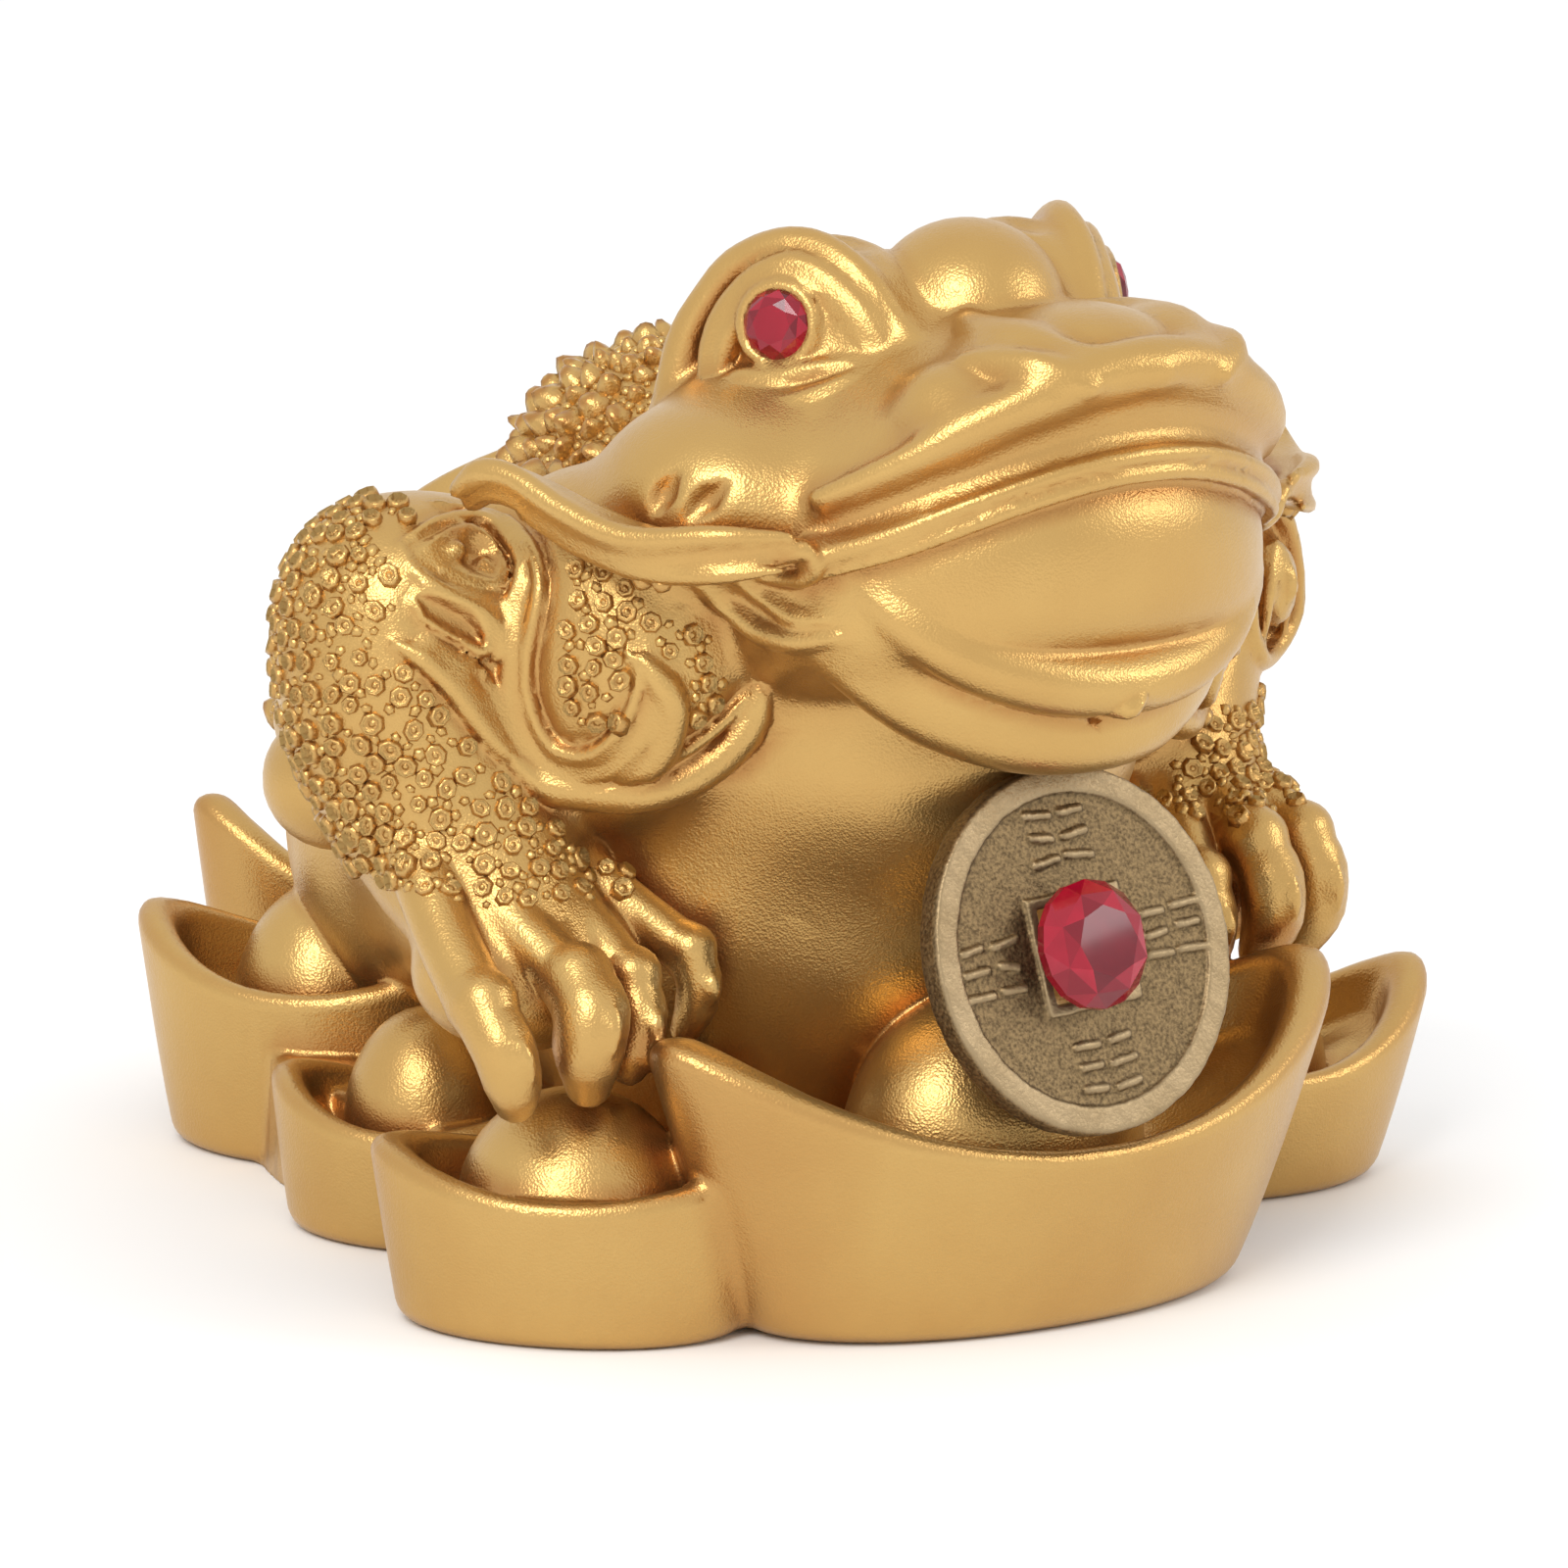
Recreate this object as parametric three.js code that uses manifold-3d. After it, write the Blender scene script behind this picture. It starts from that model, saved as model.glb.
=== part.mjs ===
// A money toad: a cast resin toad sitting on a ring of boat-shaped ingots, with a coin and gems set in it.
// Millimetres, +Z up. The toad faces -Y, so its right side is -X. The origin is on the ground under its
// middle.
import * as THREE from "three";
import { SimplifyModifier } from "three/addons/modifiers/SimplifyModifier.js";
import { mergeVertices } from "three/addons/utils/BufferGeometryUtils.js";
import Module from "manifold-3d";

// Driving sizes
const figureHeight = 85; // ground to the top of the brows
const modelledHeight = 85; // height at which the sculpted places and radii below are written down
const coinDiameter = 28.2;
const coinThickness = 1.5;
const coinRimWidth = 2.1;
const coinReliefHeight = 0.4; // rim, hole collar and strokes stand this far above each face
const coinHoleSide = 7.4;
const coinCollarWidth = 0.9;
const coinLean = THREE.MathUtils.degToRad(18); // leans back against the throat
const strokeWidth = 0.9;
const strokeReach = 8.9; // from the coin's middle to the middle of each group of strokes
const coinGemDiameter = 10;
const coinGemHeight = 6.2; // table to point
const coinGemShift = [-0.8, 0.2]; // glued a little off the middle of the hole
const eyeGemDiameter = 5.4;
const eyeGemHeight = 3.4;
const gemClearance = 0.3; // between a gem and the seat it is glued in
const coinClearance = 0.3; // between the coin and the casting it is glued to
const ingotRimWidth = 2.2;
const castingFacets = 8200; // flat facets that the toad and its ingots are rounded off to
const weldDistance = 1e-4; // corners nearer than this are one corner

const wasm = await Module();
wasm.setup();

const scale = figureHeight / modelledHeight;
const place = (x, y, z) => new THREE.Vector3(x, y, z).multiplyScalar(scale);
const mirrored = ([x, y, z]) => [-x, y, z];

// A closed geometry as a solid that can be joined and cut
function solid(geometry) {
  const bare = geometry.clone();
  bare.deleteAttribute("normal");
  bare.deleteAttribute("uv");
  const welded = mergeVertices(bare, weldDistance);
  const vertProperties = new Float32Array(welded.attributes.position.array);
  const triVerts = new Uint32Array(welded.index.array);
  return new wasm.Manifold(new wasm.Mesh({ numProp: 3, vertProperties, triVerts }));
}

// A solid back as a geometry with flat shading
function surface(body) {
  const mesh = body.getMesh();
  const geometry = new THREE.BufferGeometry();
  geometry.setAttribute("position", new THREE.BufferAttribute(mesh.vertProperties, 3));
  geometry.setIndex(new THREE.BufferAttribute(mesh.triVerts, 1));
  geometry.computeVertexNormals();
  return geometry;
}

function joined(solids) {
  return solids.reduce((whole, next) => whole.add(next));
}

// The same form with fewer, larger facets where it is smooth
async function eased(body, facets) {
  const geometry = surface(body);
  geometry.deleteAttribute("normal");
  const welded = mergeVertices(geometry, weldDistance);
  const vertices = welded.attributes.position.count;
  const spare = vertices * (1 - facets / (welded.index.count / 3));
  return solid(await new SimplifyModifier().modify(welded, Math.max(0, spare)));
}

// Moves every vertex of a geometry to where the given function sends it
function reshaped(geometry, send) {
  const position = geometry.attributes.position;
  const point = new THREE.Vector3();
  for (let i = 0; i < position.count; i++) {
    point.fromBufferAttribute(position, i);
    position.setXYZ(i, ...send(point));
  }
  return geometry;
}

// A swelling: an ellipsoid at a place, whose sides can sag like a moustache by the given drop at its ends.
// blunt is 2 for a plain ellipsoid and more for one with upright flanks
function swelling(centre, radii, { drop = 0, blunt = 2, sides = 20, rings = 14 } = {}) {
  const middle = place(...centre);
  const size = place(...radii);
  const ball = new THREE.SphereGeometry(1, sides, rings).rotateX(Math.PI / 2);
  reshaped(ball, ({ x, y, z }) => {
    const spread = Math.hypot(x, y);
    const height = Math.min(Math.abs(z), 1);
    const fuller = spread > 1e-6 ? (1 - height ** blunt) ** (1 / blunt) / spread : 0;
    return [x * fuller * size.x, y * fuller * size.y, z * size.z - drop * scale * (x * fuller) ** 2];
  });
  return solid(ball.translate(middle.x, middle.y, middle.z));
}

// A roll of clay: round-ended, following a smooth curve, its radius running through the given values.
// flat thins it along the direction that it faces, and face is that direction.
function roll(points, radii, { face = [0, 0, 1], flat = 1, sides = 10, steps = 10, cap = 3 } = {}) {
  const curve = new THREE.CatmullRomCurve3(points.map((point) => place(...point)));
  const outward = new THREE.Vector3(...face);
  const radiusAt = (t) => {
    const along = t * (radii.length - 1);
    const from = Math.min(Math.floor(along), radii.length - 2);
    return scale * THREE.MathUtils.lerp(radii[from], radii[from + 1], along - from);
  };
  const capsule = new THREE.CapsuleGeometry(1, steps, cap, sides, steps);
  reshaped(capsule, ({ x, y, z }) => {
    const middlePart = THREE.MathUtils.clamp(y / steps + 0.5, 0, 1);
    const overhang = y - (middlePart - 0.5) * steps;
    const radius = radiusAt(middlePart);
    const tangent = curve.getTangent(middlePart);
    const across = tangent.clone().cross(outward).normalize();
    const up = across.clone().cross(tangent);
    const point = curve.getPoint(middlePart);
    point.addScaledVector(tangent, overhang * radius);
    point.addScaledVector(across, x * radius);
    point.addScaledVector(up, z * radius * flat);
    return point.toArray();
  });
  return solid(capsule);
}

// Both sides of a form that the toad has twice
function both(make) {
  return [make((point) => point), make(mirrored)];
}

// The ring of ingots. turn is the long axis from +X in degrees. dip and tip are the rim's heights, in its
// middle and at its ends
const ingots = [
  { at: [1, -26], turn: 0, long: 33, wide: 15.4, dip: 15.3, tip: 24.5, foot: 0.71, dome: [13, 9.5, 25] },
  { at: [-31, -15], turn: 136, long: 16, wide: 10.5, dip: 12, tip: 14.5, foot: 0.86, dome: [9, 8.5, 18.5] },
  { at: [-23.5, 14.5], turn: 125, long: 13, wide: 10, dip: 10, tip: 13, foot: 0.86, dome: [6.5, 6.5, 18] },
  { at: [-14.5, 41], turn: 122, long: 16.5, wide: 11, dip: 15, tip: 19.5, foot: 0.78, dome: [7.5, 7.5, 22] },
  { at: [4, 57], turn: 165, long: 18, wide: 11, dip: 17, tip: 25.5, foot: 0.78, dome: [8.5, 7.5, 22] },
  { at: [25, 38], turn: 58, long: 17, wide: 11, dip: 15, tip: 20, foot: 0.78, dome: [7.5, 7.5, 21] },
  { at: [32, 15], turn: 65, long: 14, wide: 10.5, dip: 12, tip: 16, foot: 0.84, dome: [6.5, 6.5, 16] },
  { at: [41, -6], turn: -8, long: 19, wide: 11.5, dip: 11, tip: 17.5, foot: 0.74, dome: [8.5, 8, 18] },
];

// One ingot: a pot pulled out into a boat, its rim rising to both tips, with a dome in the middle.
// Its foot is a plain ellipse and its rim is pinched to both tips, which lean out beyond the foot
const tipLean = 0.96; // how much shorter the foot is, beside its share of the width
const rimRise = 2.2; // how late the rim starts to rise towards a tip
const tipPinch = 0.35; // 0 draws the tips to a point and 1 leaves the rim an ellipse
function ingot({ at, turn, long, wide, dip, tip, foot, dome }) {
  const inner = 1 - ingotRimWidth / (wide * scale);
  const profile = [[0, 0], [foot - 0.08, 0], [foot - 0.01, 0.04], [foot + 0.04, 0.14], [1, 0.97]];
  profile.push([(1 + inner) / 2, 1.03], [inner, 0.97], [inner - 0.2, 0.55], [0, 0.5]);
  const pot = new THREE.LatheGeometry(profile.map(([r, h]) => new THREE.Vector2(r, h)), 32);
  reshaped(pot, ({ x, y, z }) => {
    const reach = Math.hypot(x, z) || 1;
    const along = x / reach;
    const across = Math.abs(z / reach);
    const rim = THREE.MathUtils.lerp(dip, tip, Math.abs(along) ** rimRise);
    const level = THREE.MathUtils.clamp(y, 0, 1);
    const pinch = THREE.MathUtils.lerp(1, Math.sqrt(THREE.MathUtils.lerp(tipPinch, 1, across)), level);
    const length = long * THREE.MathUtils.lerp(tipLean, 1, level);
    const point = place(x * length, -z * wide * pinch, y * rim);
    return point.toArray();
  });
  const heading = THREE.MathUtils.degToRad(turn);
  const middle = place(...at, 0);
  const boat = solid(pot.rotateZ(heading).translate(middle.x, middle.y, 0));
  const [domeLong, domeWide, domeTop] = dome;
  const ball = new THREE.SphereGeometry(1, 20, 12).rotateX(Math.PI / 2);
  const domeSize = place(domeLong, domeWide, domeTop * 0.5);
  ball.scale(...domeSize).rotateZ(heading).translate(middle.x, middle.y, domeSize.z);
  return boat.add(solid(ball));
}

// Filling under the toad, which closes the ring of ingots to one flat underside
function ringFilling() {
  const fill = new THREE.CylinderGeometry(1, 1, 1, 20).rotateX(Math.PI / 2).translate(0, 0, 0.5);
  fill.scale(...place(27.5, 42, 10)).translate(...place(0, 14, 0));
  return solid(fill);
}

function body() {
  return [
    swelling([0, 2, 34], [27, 27, 30], { sides: 32, rings: 24 }),
    swelling([0, -10, 43], [21, 22, 14]),
    swelling([0, 14, 56.8], [13, 14.4, 12.4]),
    swelling([0, 22, 40], [21.5, 23.5, 17.5]),
    swelling([0, 34, 28], [20, 18, 22]),
    ...both((side) => swelling(side([-13, 21, 28.5]), [9.5, 11.5, 12.5])),
    ...both((side) => swelling(side([-24, -8, 51]), [10, 13, 14])),
  ];
}

// The round plate carved on the toad's back
function backPlate() {
  const plate = new THREE.CylinderGeometry(1, 1.06, 1, 20).rotateX(Math.PI / 2);
  plate.scale(...place(12.5, 12.5, 4)).rotateX(-0.6).translate(...place(0, 34, 52));
  return solid(plate);
}

// Lip lines: they run round the snout and sink to the mouth's corners
const mouthHalfWidth = 21.8;
const mouthShare = 0.94; // of the snout's width at the corners
function lipPoints(top, drop, inset = 0) {
  const points = [];
  for (let i = -4; i <= 4; i++) {
    const share = i / 4;
    const y = -25 - (19 - inset) * Math.sqrt(1 - (share * mouthShare) ** 2);
    points.push([share * mouthHalfWidth, y, top - drop * share ** 2]);
  }
  return points;
}

function head() {
  const skull = [
    swelling([0, -14, 66], [21, 16, 12]),
    swelling([0, -24.5, 73], [22.3, 18.6, 5.5], { drop: 10.5, blunt: 2.6, sides: 32 }),
    swelling([0, -24.5, 61], [22, 19.6, 10], { drop: 4, blunt: 3.6, sides: 32 }),
    swelling([0, -14, 55], [22, 18.5, 14]),
    ...both((side) => swelling(side([-20, -17.6, 65.6]), [9.3, 10.4, 8.4])),
    ...both((side) => swelling(side([-12, -17.5, 74.6]), [6.5, 9, 7.5])),
  ];
  const eyeHollows = both((side) => swelling(side([-17.8, -18.6, 76.4]), [4.2, 7, 4.6]));
  const mouthGap = roll(lipPoints(72.4, 9.8, -1), [0.8, 1.9, 2.2, 1.9, 0.8], { steps: 24, sides: 8 });
  const features = [
    swelling([0, -20.6, 78.2], [6.2, 6.6, 6]),
    swelling([0, -35.5, 76.2], [6, 6.5, 3]),
    ...both((side) => swelling(side([-7, -36.2, 75.4]), [4, 5.2, 3.6])),
    roll(lipPoints(75.2, 10.4, 0.4), [1.2, 1.6, 1.8, 1.6, 1.2], { steps: 24 }),
    roll(lipPoints(69.4, 9, 0.6), [1.4, 1.7, 1.8, 1.7, 1.4], { steps: 24 }),
    ...both((side) => swelling(side([-13.2, -17.4, 76.4]), [3.6, 4.4, 4.2])),
    ...both(brow),
    ...both(whisker),
    ...throatFolds(),
  ];
  return [joined(skull).subtract(joined([mouthGap, ...eyeHollows])), ...features];
}

// Brow: a heavy rim that arches over each eye
function brow(side) {
  const arch = [[-18, -7.5, 68.5], [-17.6, -9.4, 74], [-15.6, -12, 78.6], [-12.8, -16.4, 81.4]];
  arch.push([-11, -22, 81.2], [-10.4, -27.4, 78.6], [-10.6, -31, 75.5]);
  return roll(arch.map(side), [2.2, 2.4, 2.3, 2.2, 1.3], { steps: 18 });
}

// Whisker: a flap from the mouth's corner back over the shoulder, with a curled end
function whisker(side) {
  const ribbon = [[-24.2, -30.4, 62.8], [-28, -25, 61.6], [-31, -17.5, 62]];
  ribbon.push([-34, -11.5, 65], [-35.8, -7.5, 65.6]);
  return roll(ribbon.map(side), [2.1, 2.9, 3, 2.4, 1.8], { flat: 0.8, steps: 14 });
}

// Crescent folds under the jaw, the lowest one the widest
function throatFolds() {
  const fold = ([halfWidth, back, front, low, rise], radii) => {
    const points = [-1, -0.6, 0, 0.6, 1].map((share) => {
      const y = THREE.MathUtils.lerp(front, back, share * share);
      return [share * halfWidth, y, low + rise * share * share];
    });
    return roll(points, radii, { steps: 20 });
  };
  return [
    fold([19, -30, -40.6, 51.6, 6], [1.5, 3, 3.4, 3, 1.5]),
    fold([21, -26, -37.5, 47.6, 6], [2, 3.6, 4, 3.6, 2]),
  ];
}

function foreleg(side) {
  const limb = [[-36.4, 1.2, 52.6], [-36.6, 0.4, 47.5], [-35, -1.6, 41]];
  limb.push([-33.6, -4.5, 36], [-33.6, -8.6, 31.5]);
  const inner = [[-24, 2, 51], [-31, 1, 51]];
  return joined([
    roll(limb.map(side), [9.8, 9.8, 9.3, 8.6, 7], { face: [0, 1, 0], sides: 20, steps: 12, cap: 6 }),
    roll(inner.map(side), [11, 10], { sides: 20, steps: 1, cap: 6 }),
    swelling(side([-32.6, -10.5, 27.5]), [9.6, 7.2, 6.6]),
  ]);
}

// Smooth cap behind the scroll on the left shoulder
function shoulderCap() {
  return swelling([41, 0, 49], [9, 9, 10]);
}

// Four clawed fingers to a hand. Each is its thickness beside a plain finger's, and a line down the back
// of the hand, over the knuckle and down the claw
const rightHand = [
  [1, [
    [-40.4, -7, 36], [-42, -14, 30.4], [-42.4, -20, 25.2], [-41.6, -21, 21.8], [-40.2, -19.6, 19.8],
  ]],
  [1.1, [
    [-36.6, -9, 35.4], [-35.6, -16, 30.2], [-34.8, -21, 27], [-35.2, -22, 23.6], [-33.8, -20.2, 20.4],
  ]],
  [0.85, [
    [-31.6, -9.5, 35], [-29.6, -15.4, 30.2], [-28.8, -19.6, 25.6], [-29.2, -20, 22.8], [-28.9, -18.8, 20.8],
  ]],
  [0.75, [
    [-27, -9.4, 34.6], [-24, -14.4, 30.8], [-21.9, -17.8, 27.2], [-21.9, -17.9, 24.6], [-22.2, -17, 22.6],
  ]],
];
const leftHand = [
  [1.1, [
    [38.6, -7, 34.8], [40.6, -13.6, 31.2], [41.8, -18.4, 27], [42, -18.4, 23], [41.8, -16.6, 19.8],
  ]],
  [1.15, [
    [34.6, -9, 35], [33.8, -15.8, 32], [34, -20.6, 28], [34.3, -21.2, 24.2], [34.4, -19.6, 21.4],
  ]],
  [0.9, [
    [30.6, -9.6, 34.6], [28.6, -15.4, 31], [27.8, -19.2, 26.6], [28, -19.4, 23.2], [28.2, -18.2, 21.2],
  ]],
  [0.75, [
    [27, -10, 34], [23.8, -14.8, 30.4], [22, -17.4, 26.6], [21.9, -17.4, 24], [22.2, -16.6, 22.2],
  ]],
];
function hand(fingers) {
  return fingers.map(([stout, points]) => {
    const radii = [2.3, 2.3, 2.7, 2.5, 1.5].map((radius) => radius * stout);
    return roll(points, radii, { face: [1, 0, 0], steps: 8, sides: 8 });
  });
}

// The scroll that lies on each shoulder, with a leaf inside it and a crescent below
function shoulderScroll(side) {
  const loop = [[-35.5, -2, 62.4], [-31.6, -5.6, 61.2], [-31.8, -10.6, 59.6], [-33, -12.6, 55.2]];
  loop.push([-33.6, -12.4, 50], [-32.4, -14, 45], [-30.3, -17.4, 43.6], [-28.4, -20.6, 47]);
  loop.push([-28.8, -20.6, 51.4]);
  const leaf = [[-42, -6, 56.6], [-39, -8.4, 54.6], [-36.2, -9.6, 52.2]];
  const crescent = [[-34, -10.4, 43], [-30, -14.6, 41.6], [-25.4, -17.8, 41.4], [-21, -19.8, 44.2]];
  crescent.push([-19.2, -21.2, 48.8]);
  return [
    roll(loop.map(side), [1, 1.7, 1.8, 1.8, 1.2], { face: [0, 1, 0], steps: 20, sides: 8 }),
    roll(leaf.map(side), [1.6, 2.4, 1.2], { sides: 8, steps: 8 }),
    roll(crescent.map(side), [0.9, 2, 2.3, 1.8, 0.8], { steps: 14 }),
  ];
}

// Lobes of the hind foot beside the haunch
function hindFoot(side) {
  return [[-25.4, 25, 34.6], [-21.6, 29, 38.4]].map((lobe) => {
    return swelling(side(lobe), [5.6, 6, 5.6]);
  });
}

// The coin stands on the front ingot's near rim. This moves a thing from the coin's own frame, where the
// coin's middle is at 0 and its front faces +Z, to the figure
const coinFoot = place(-0.4, -41.5, 16.5);
function onCoin(geometry) {
  geometry.translate(0, coinDiameter / 2, 0).rotateX(Math.PI / 2 - coinLean);
  return geometry.translate(...coinFoot);
}

function extruded(shape, from, to) {
  const settings = { depth: to - from, bevelEnabled: false, curveSegments: 24 };
  const plate = new THREE.ExtrudeGeometry(shape, settings);
  return plate.translate(0, 0, from);
}

function disc(radius) {
  return new THREE.Shape().absarc(0, 0, radius, 0, 2 * Math.PI);
}

function square(side) {
  const half = side / 2;
  const corners = [[-half, -half], [half, -half], [half, half], [-half, half]];
  return new THREE.Shape(corners.map(([x, y]) => new THREE.Vector2(x, y)));
}

// Coin with a raised rim and hole collar on both faces, and rows of strokes on the front
function coin() {
  const face = coinThickness / 2;
  const top = face + coinReliefHeight;
  const blank = solid(onCoin(extruded(disc(coinDiameter / 2), -face, face)));
  const rim = solid(onCoin(extruded(disc(coinDiameter / 2), -top, top)));
  const field = solid(onCoin(extruded(disc(coinDiameter / 2 - coinRimWidth), -2 * top, 2 * top)));
  const collar = solid(onCoin(extruded(square(coinHoleSide + 2 * coinCollarWidth), -top, top)));
  const hole = solid(onCoin(extruded(square(coinHoleSide), -2 * top, 2 * top)));
  return joined([blank, rim.subtract(field), collar, ...coinStrokes(top)]).subtract(hole);
}

// Rows of three short strokes above, below and at both sides of the hole
const strokePitch = 2 * strokeWidth;
function coinStrokes(top) {
  const strokes = [];
  for (let quarter = 0; quarter < 4; quarter++) {
    for (let row = -1; row <= 1; row++) {
      const length = strokeWidth * (4 - Math.abs(row));
      const bar = new THREE.BoxGeometry(length, strokeWidth, top);
      bar.translate(0, strokeReach + row * strokePitch, top / 2).rotateZ(quarter * Math.PI / 2);
      strokes.push(solid(onCoin(bar)));
    }
  }
  return strokes;
}

// The room the coin takes out of the casting
function coinRoom() {
  const depth = coinThickness / 2 + coinReliefHeight + coinClearance;
  return solid(onCoin(extruded(disc(coinDiameter / 2 + coinClearance), -depth, depth)));
}

// A faceted gem about +Z: a flat table, a slanted crown, a thin girdle and a cone to its point, with its
// girdle's lower edge at 0. grown makes the seat that it sits in
const crownShare = 0.4; // of the gem's height, from the girdle's lower edge up to the table
const girdleShare = 0.12;
const pointShare = 0.48; // of the gem's height, below the girdle
const tableShare = 0.58; // of the gem's radius
const gemSides = 10;
function gemBody(diameter, height, grown = 0) {
  const radius = diameter / 2 + grown;
  const crown = height * crownShare + grown;
  const point = -height * pointShare - grown;
  const outline = [[0, point], [radius, 0], [radius, height * girdleShare]];
  outline.push([radius * tableShare, crown], [0, crown]);
  const cut = new THREE.LatheGeometry(outline.map(([r, h]) => new THREE.Vector2(r, h)), gemSides);
  return cut.rotateX(Math.PI / 2);
}

// The coin gem's cone reaches down the hole and rests on the edge of the hole that it is nearest to
function coinGem(grown = 0) {
  const slope = (coinGemDiameter / 2) / (coinGemHeight * pointShare);
  const nearestEdge = coinHoleSide / 2 - Math.max(...coinGemShift.map(Math.abs));
  const seat = (coinGemDiameter / 2 - nearestEdge) / slope;
  const lift = coinThickness / 2 + coinReliefHeight + gemClearance + seat;
  return onCoin(gemBody(coinGemDiameter, coinGemHeight, grown).translate(...coinGemShift, lift));
}

// An eye gem looks sideways and a little up. side is -1 for the right eye and 1 for the left
const eyeTurn = THREE.MathUtils.degToRad(62);
const eyeTilt = THREE.MathUtils.degToRad(8);
const eyeGemPlace = [16.1, -18.4, 76.7]; // of the left eye
function eyeGem(side, grown = 0) {
  const gem = gemBody(eyeGemDiameter, eyeGemHeight, grown);
  gem.rotateX(Math.PI / 2 - eyeTilt).rotateZ(side * eyeTurn);
  const [out, back, up] = eyeGemPlace;
  return gem.translate(...place(side * out, back, up));
}

async function casting() {
  const forms = [
    ringFilling(),
    ...ingots.map(ingot),
    ...body(),
    backPlate(),
    ...head(),
    ...both(foreleg),
    ...hand(rightHand),
    ...hand(leftHand),
    shoulderCap(),
    ...both(shoulderScroll).flat(),
    ...both(hindFoot).flat(),
  ];
  const rooms = [coinRoom(), solid(coinGem(gemClearance))];
  rooms.push(solid(eyeGem(-1, gemClearance)), solid(eyeGem(1, gemClearance)));
  const whole = await eased(joined(forms), castingFacets);
  return whole.subtract(joined(rooms));
}

const goldPaint = new THREE.MeshStandardMaterial({ color: 0xd9a441, roughness: 0.38, metalness: 0.9 });
const agedBronze = new THREE.MeshStandardMaterial({ color: 0x8a7448, roughness: 0.5, metalness: 0.9 });
const redGlass = new THREE.MeshStandardMaterial({ color: 0xb3142c, roughness: 0.08, metalness: 0 });

function named(name, geometry, material) {
  const mesh = new THREE.Mesh(geometry, material);
  mesh.name = name;
  return mesh;
}

const figure = new THREE.Group();
figure.add(named("toad_on_ingots", surface(await casting()), goldPaint));
figure.add(named("coin", surface(coin()), agedBronze));
figure.add(named("coin_gem", surface(solid(coinGem())), redGlass.clone()));
figure.add(named("right_eye_gem", surface(solid(eyeGem(-1))), redGlass.clone()));
figure.add(named("left_eye_gem", surface(solid(eyeGem(1))), redGlass.clone()));

export default figure;
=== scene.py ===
# A money toad: gold-painted cast resin on a ring of ingots, with an aged bronze coin and red glass gems.
# The toad faces -Y, so its right side is -X. Sculpting is in millimetres, and finished meshes are in metres.
import math
import bmesh
import bpy
import numpy as np
from mathutils import Matrix, Vector


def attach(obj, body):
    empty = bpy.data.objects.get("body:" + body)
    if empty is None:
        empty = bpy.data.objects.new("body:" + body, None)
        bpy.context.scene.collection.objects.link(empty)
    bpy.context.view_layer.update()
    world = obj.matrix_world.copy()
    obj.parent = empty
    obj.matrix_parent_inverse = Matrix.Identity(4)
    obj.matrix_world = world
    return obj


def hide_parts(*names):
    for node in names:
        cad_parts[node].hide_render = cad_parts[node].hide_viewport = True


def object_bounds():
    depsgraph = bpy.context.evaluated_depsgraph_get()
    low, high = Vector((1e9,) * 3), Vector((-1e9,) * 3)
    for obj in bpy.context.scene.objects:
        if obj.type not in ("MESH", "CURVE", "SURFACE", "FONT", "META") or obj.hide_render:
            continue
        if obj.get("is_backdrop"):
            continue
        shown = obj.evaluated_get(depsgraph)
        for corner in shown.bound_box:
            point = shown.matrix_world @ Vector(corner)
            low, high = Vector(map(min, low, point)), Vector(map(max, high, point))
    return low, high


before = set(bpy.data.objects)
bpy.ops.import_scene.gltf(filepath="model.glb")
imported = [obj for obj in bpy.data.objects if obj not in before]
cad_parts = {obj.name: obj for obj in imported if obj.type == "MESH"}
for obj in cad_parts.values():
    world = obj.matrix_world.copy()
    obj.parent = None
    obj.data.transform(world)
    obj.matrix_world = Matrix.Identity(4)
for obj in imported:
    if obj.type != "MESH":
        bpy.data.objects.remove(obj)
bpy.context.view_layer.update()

mm = 0.001

# The casting is sculpted as a field of distances to its skin, negative inside. Forms are pressed on
# or cut off one after another, then the skin is read off the field and thinned to a light mesh.
clay = {
    "boxRoom": 2.4,  # least room between a form and its box
    "pileBlend": 0.5,  # how softly the toad runs into the ingots
    "farAway": 9.0,  # the distance given where no form is near
}
piles = {"ingots": [], "toad": []}


def press(pile, shape, low, high, soft=0.6, cut=False):
    # adds one form to a pile: shape gives distances at points, low and high are its box
    reach = max(soft, clay["boxRoom"])
    piles[pile].append((shape, np.array(low, float) - reach, np.array(high, float) + reach, soft, cut))


def melt(a, b, soft, cut=False):
    # smooth union or smooth cut: the lesser of both, less a parabola where they are within soft of each other
    if cut:
        return rounded(a, -b, soft)
    overlap = np.maximum(soft - np.abs(a - b), 0) / soft
    return np.minimum(a, b) - overlap * overlap * soft / 4


def rounded(a, b, soft):
    # the greater of both distances with its corner rounded by soft
    overlap = np.maximum(soft - np.abs(a - b), 0) / soft
    return np.maximum(a, b) + overlap * overlap * soft / 4


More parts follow.
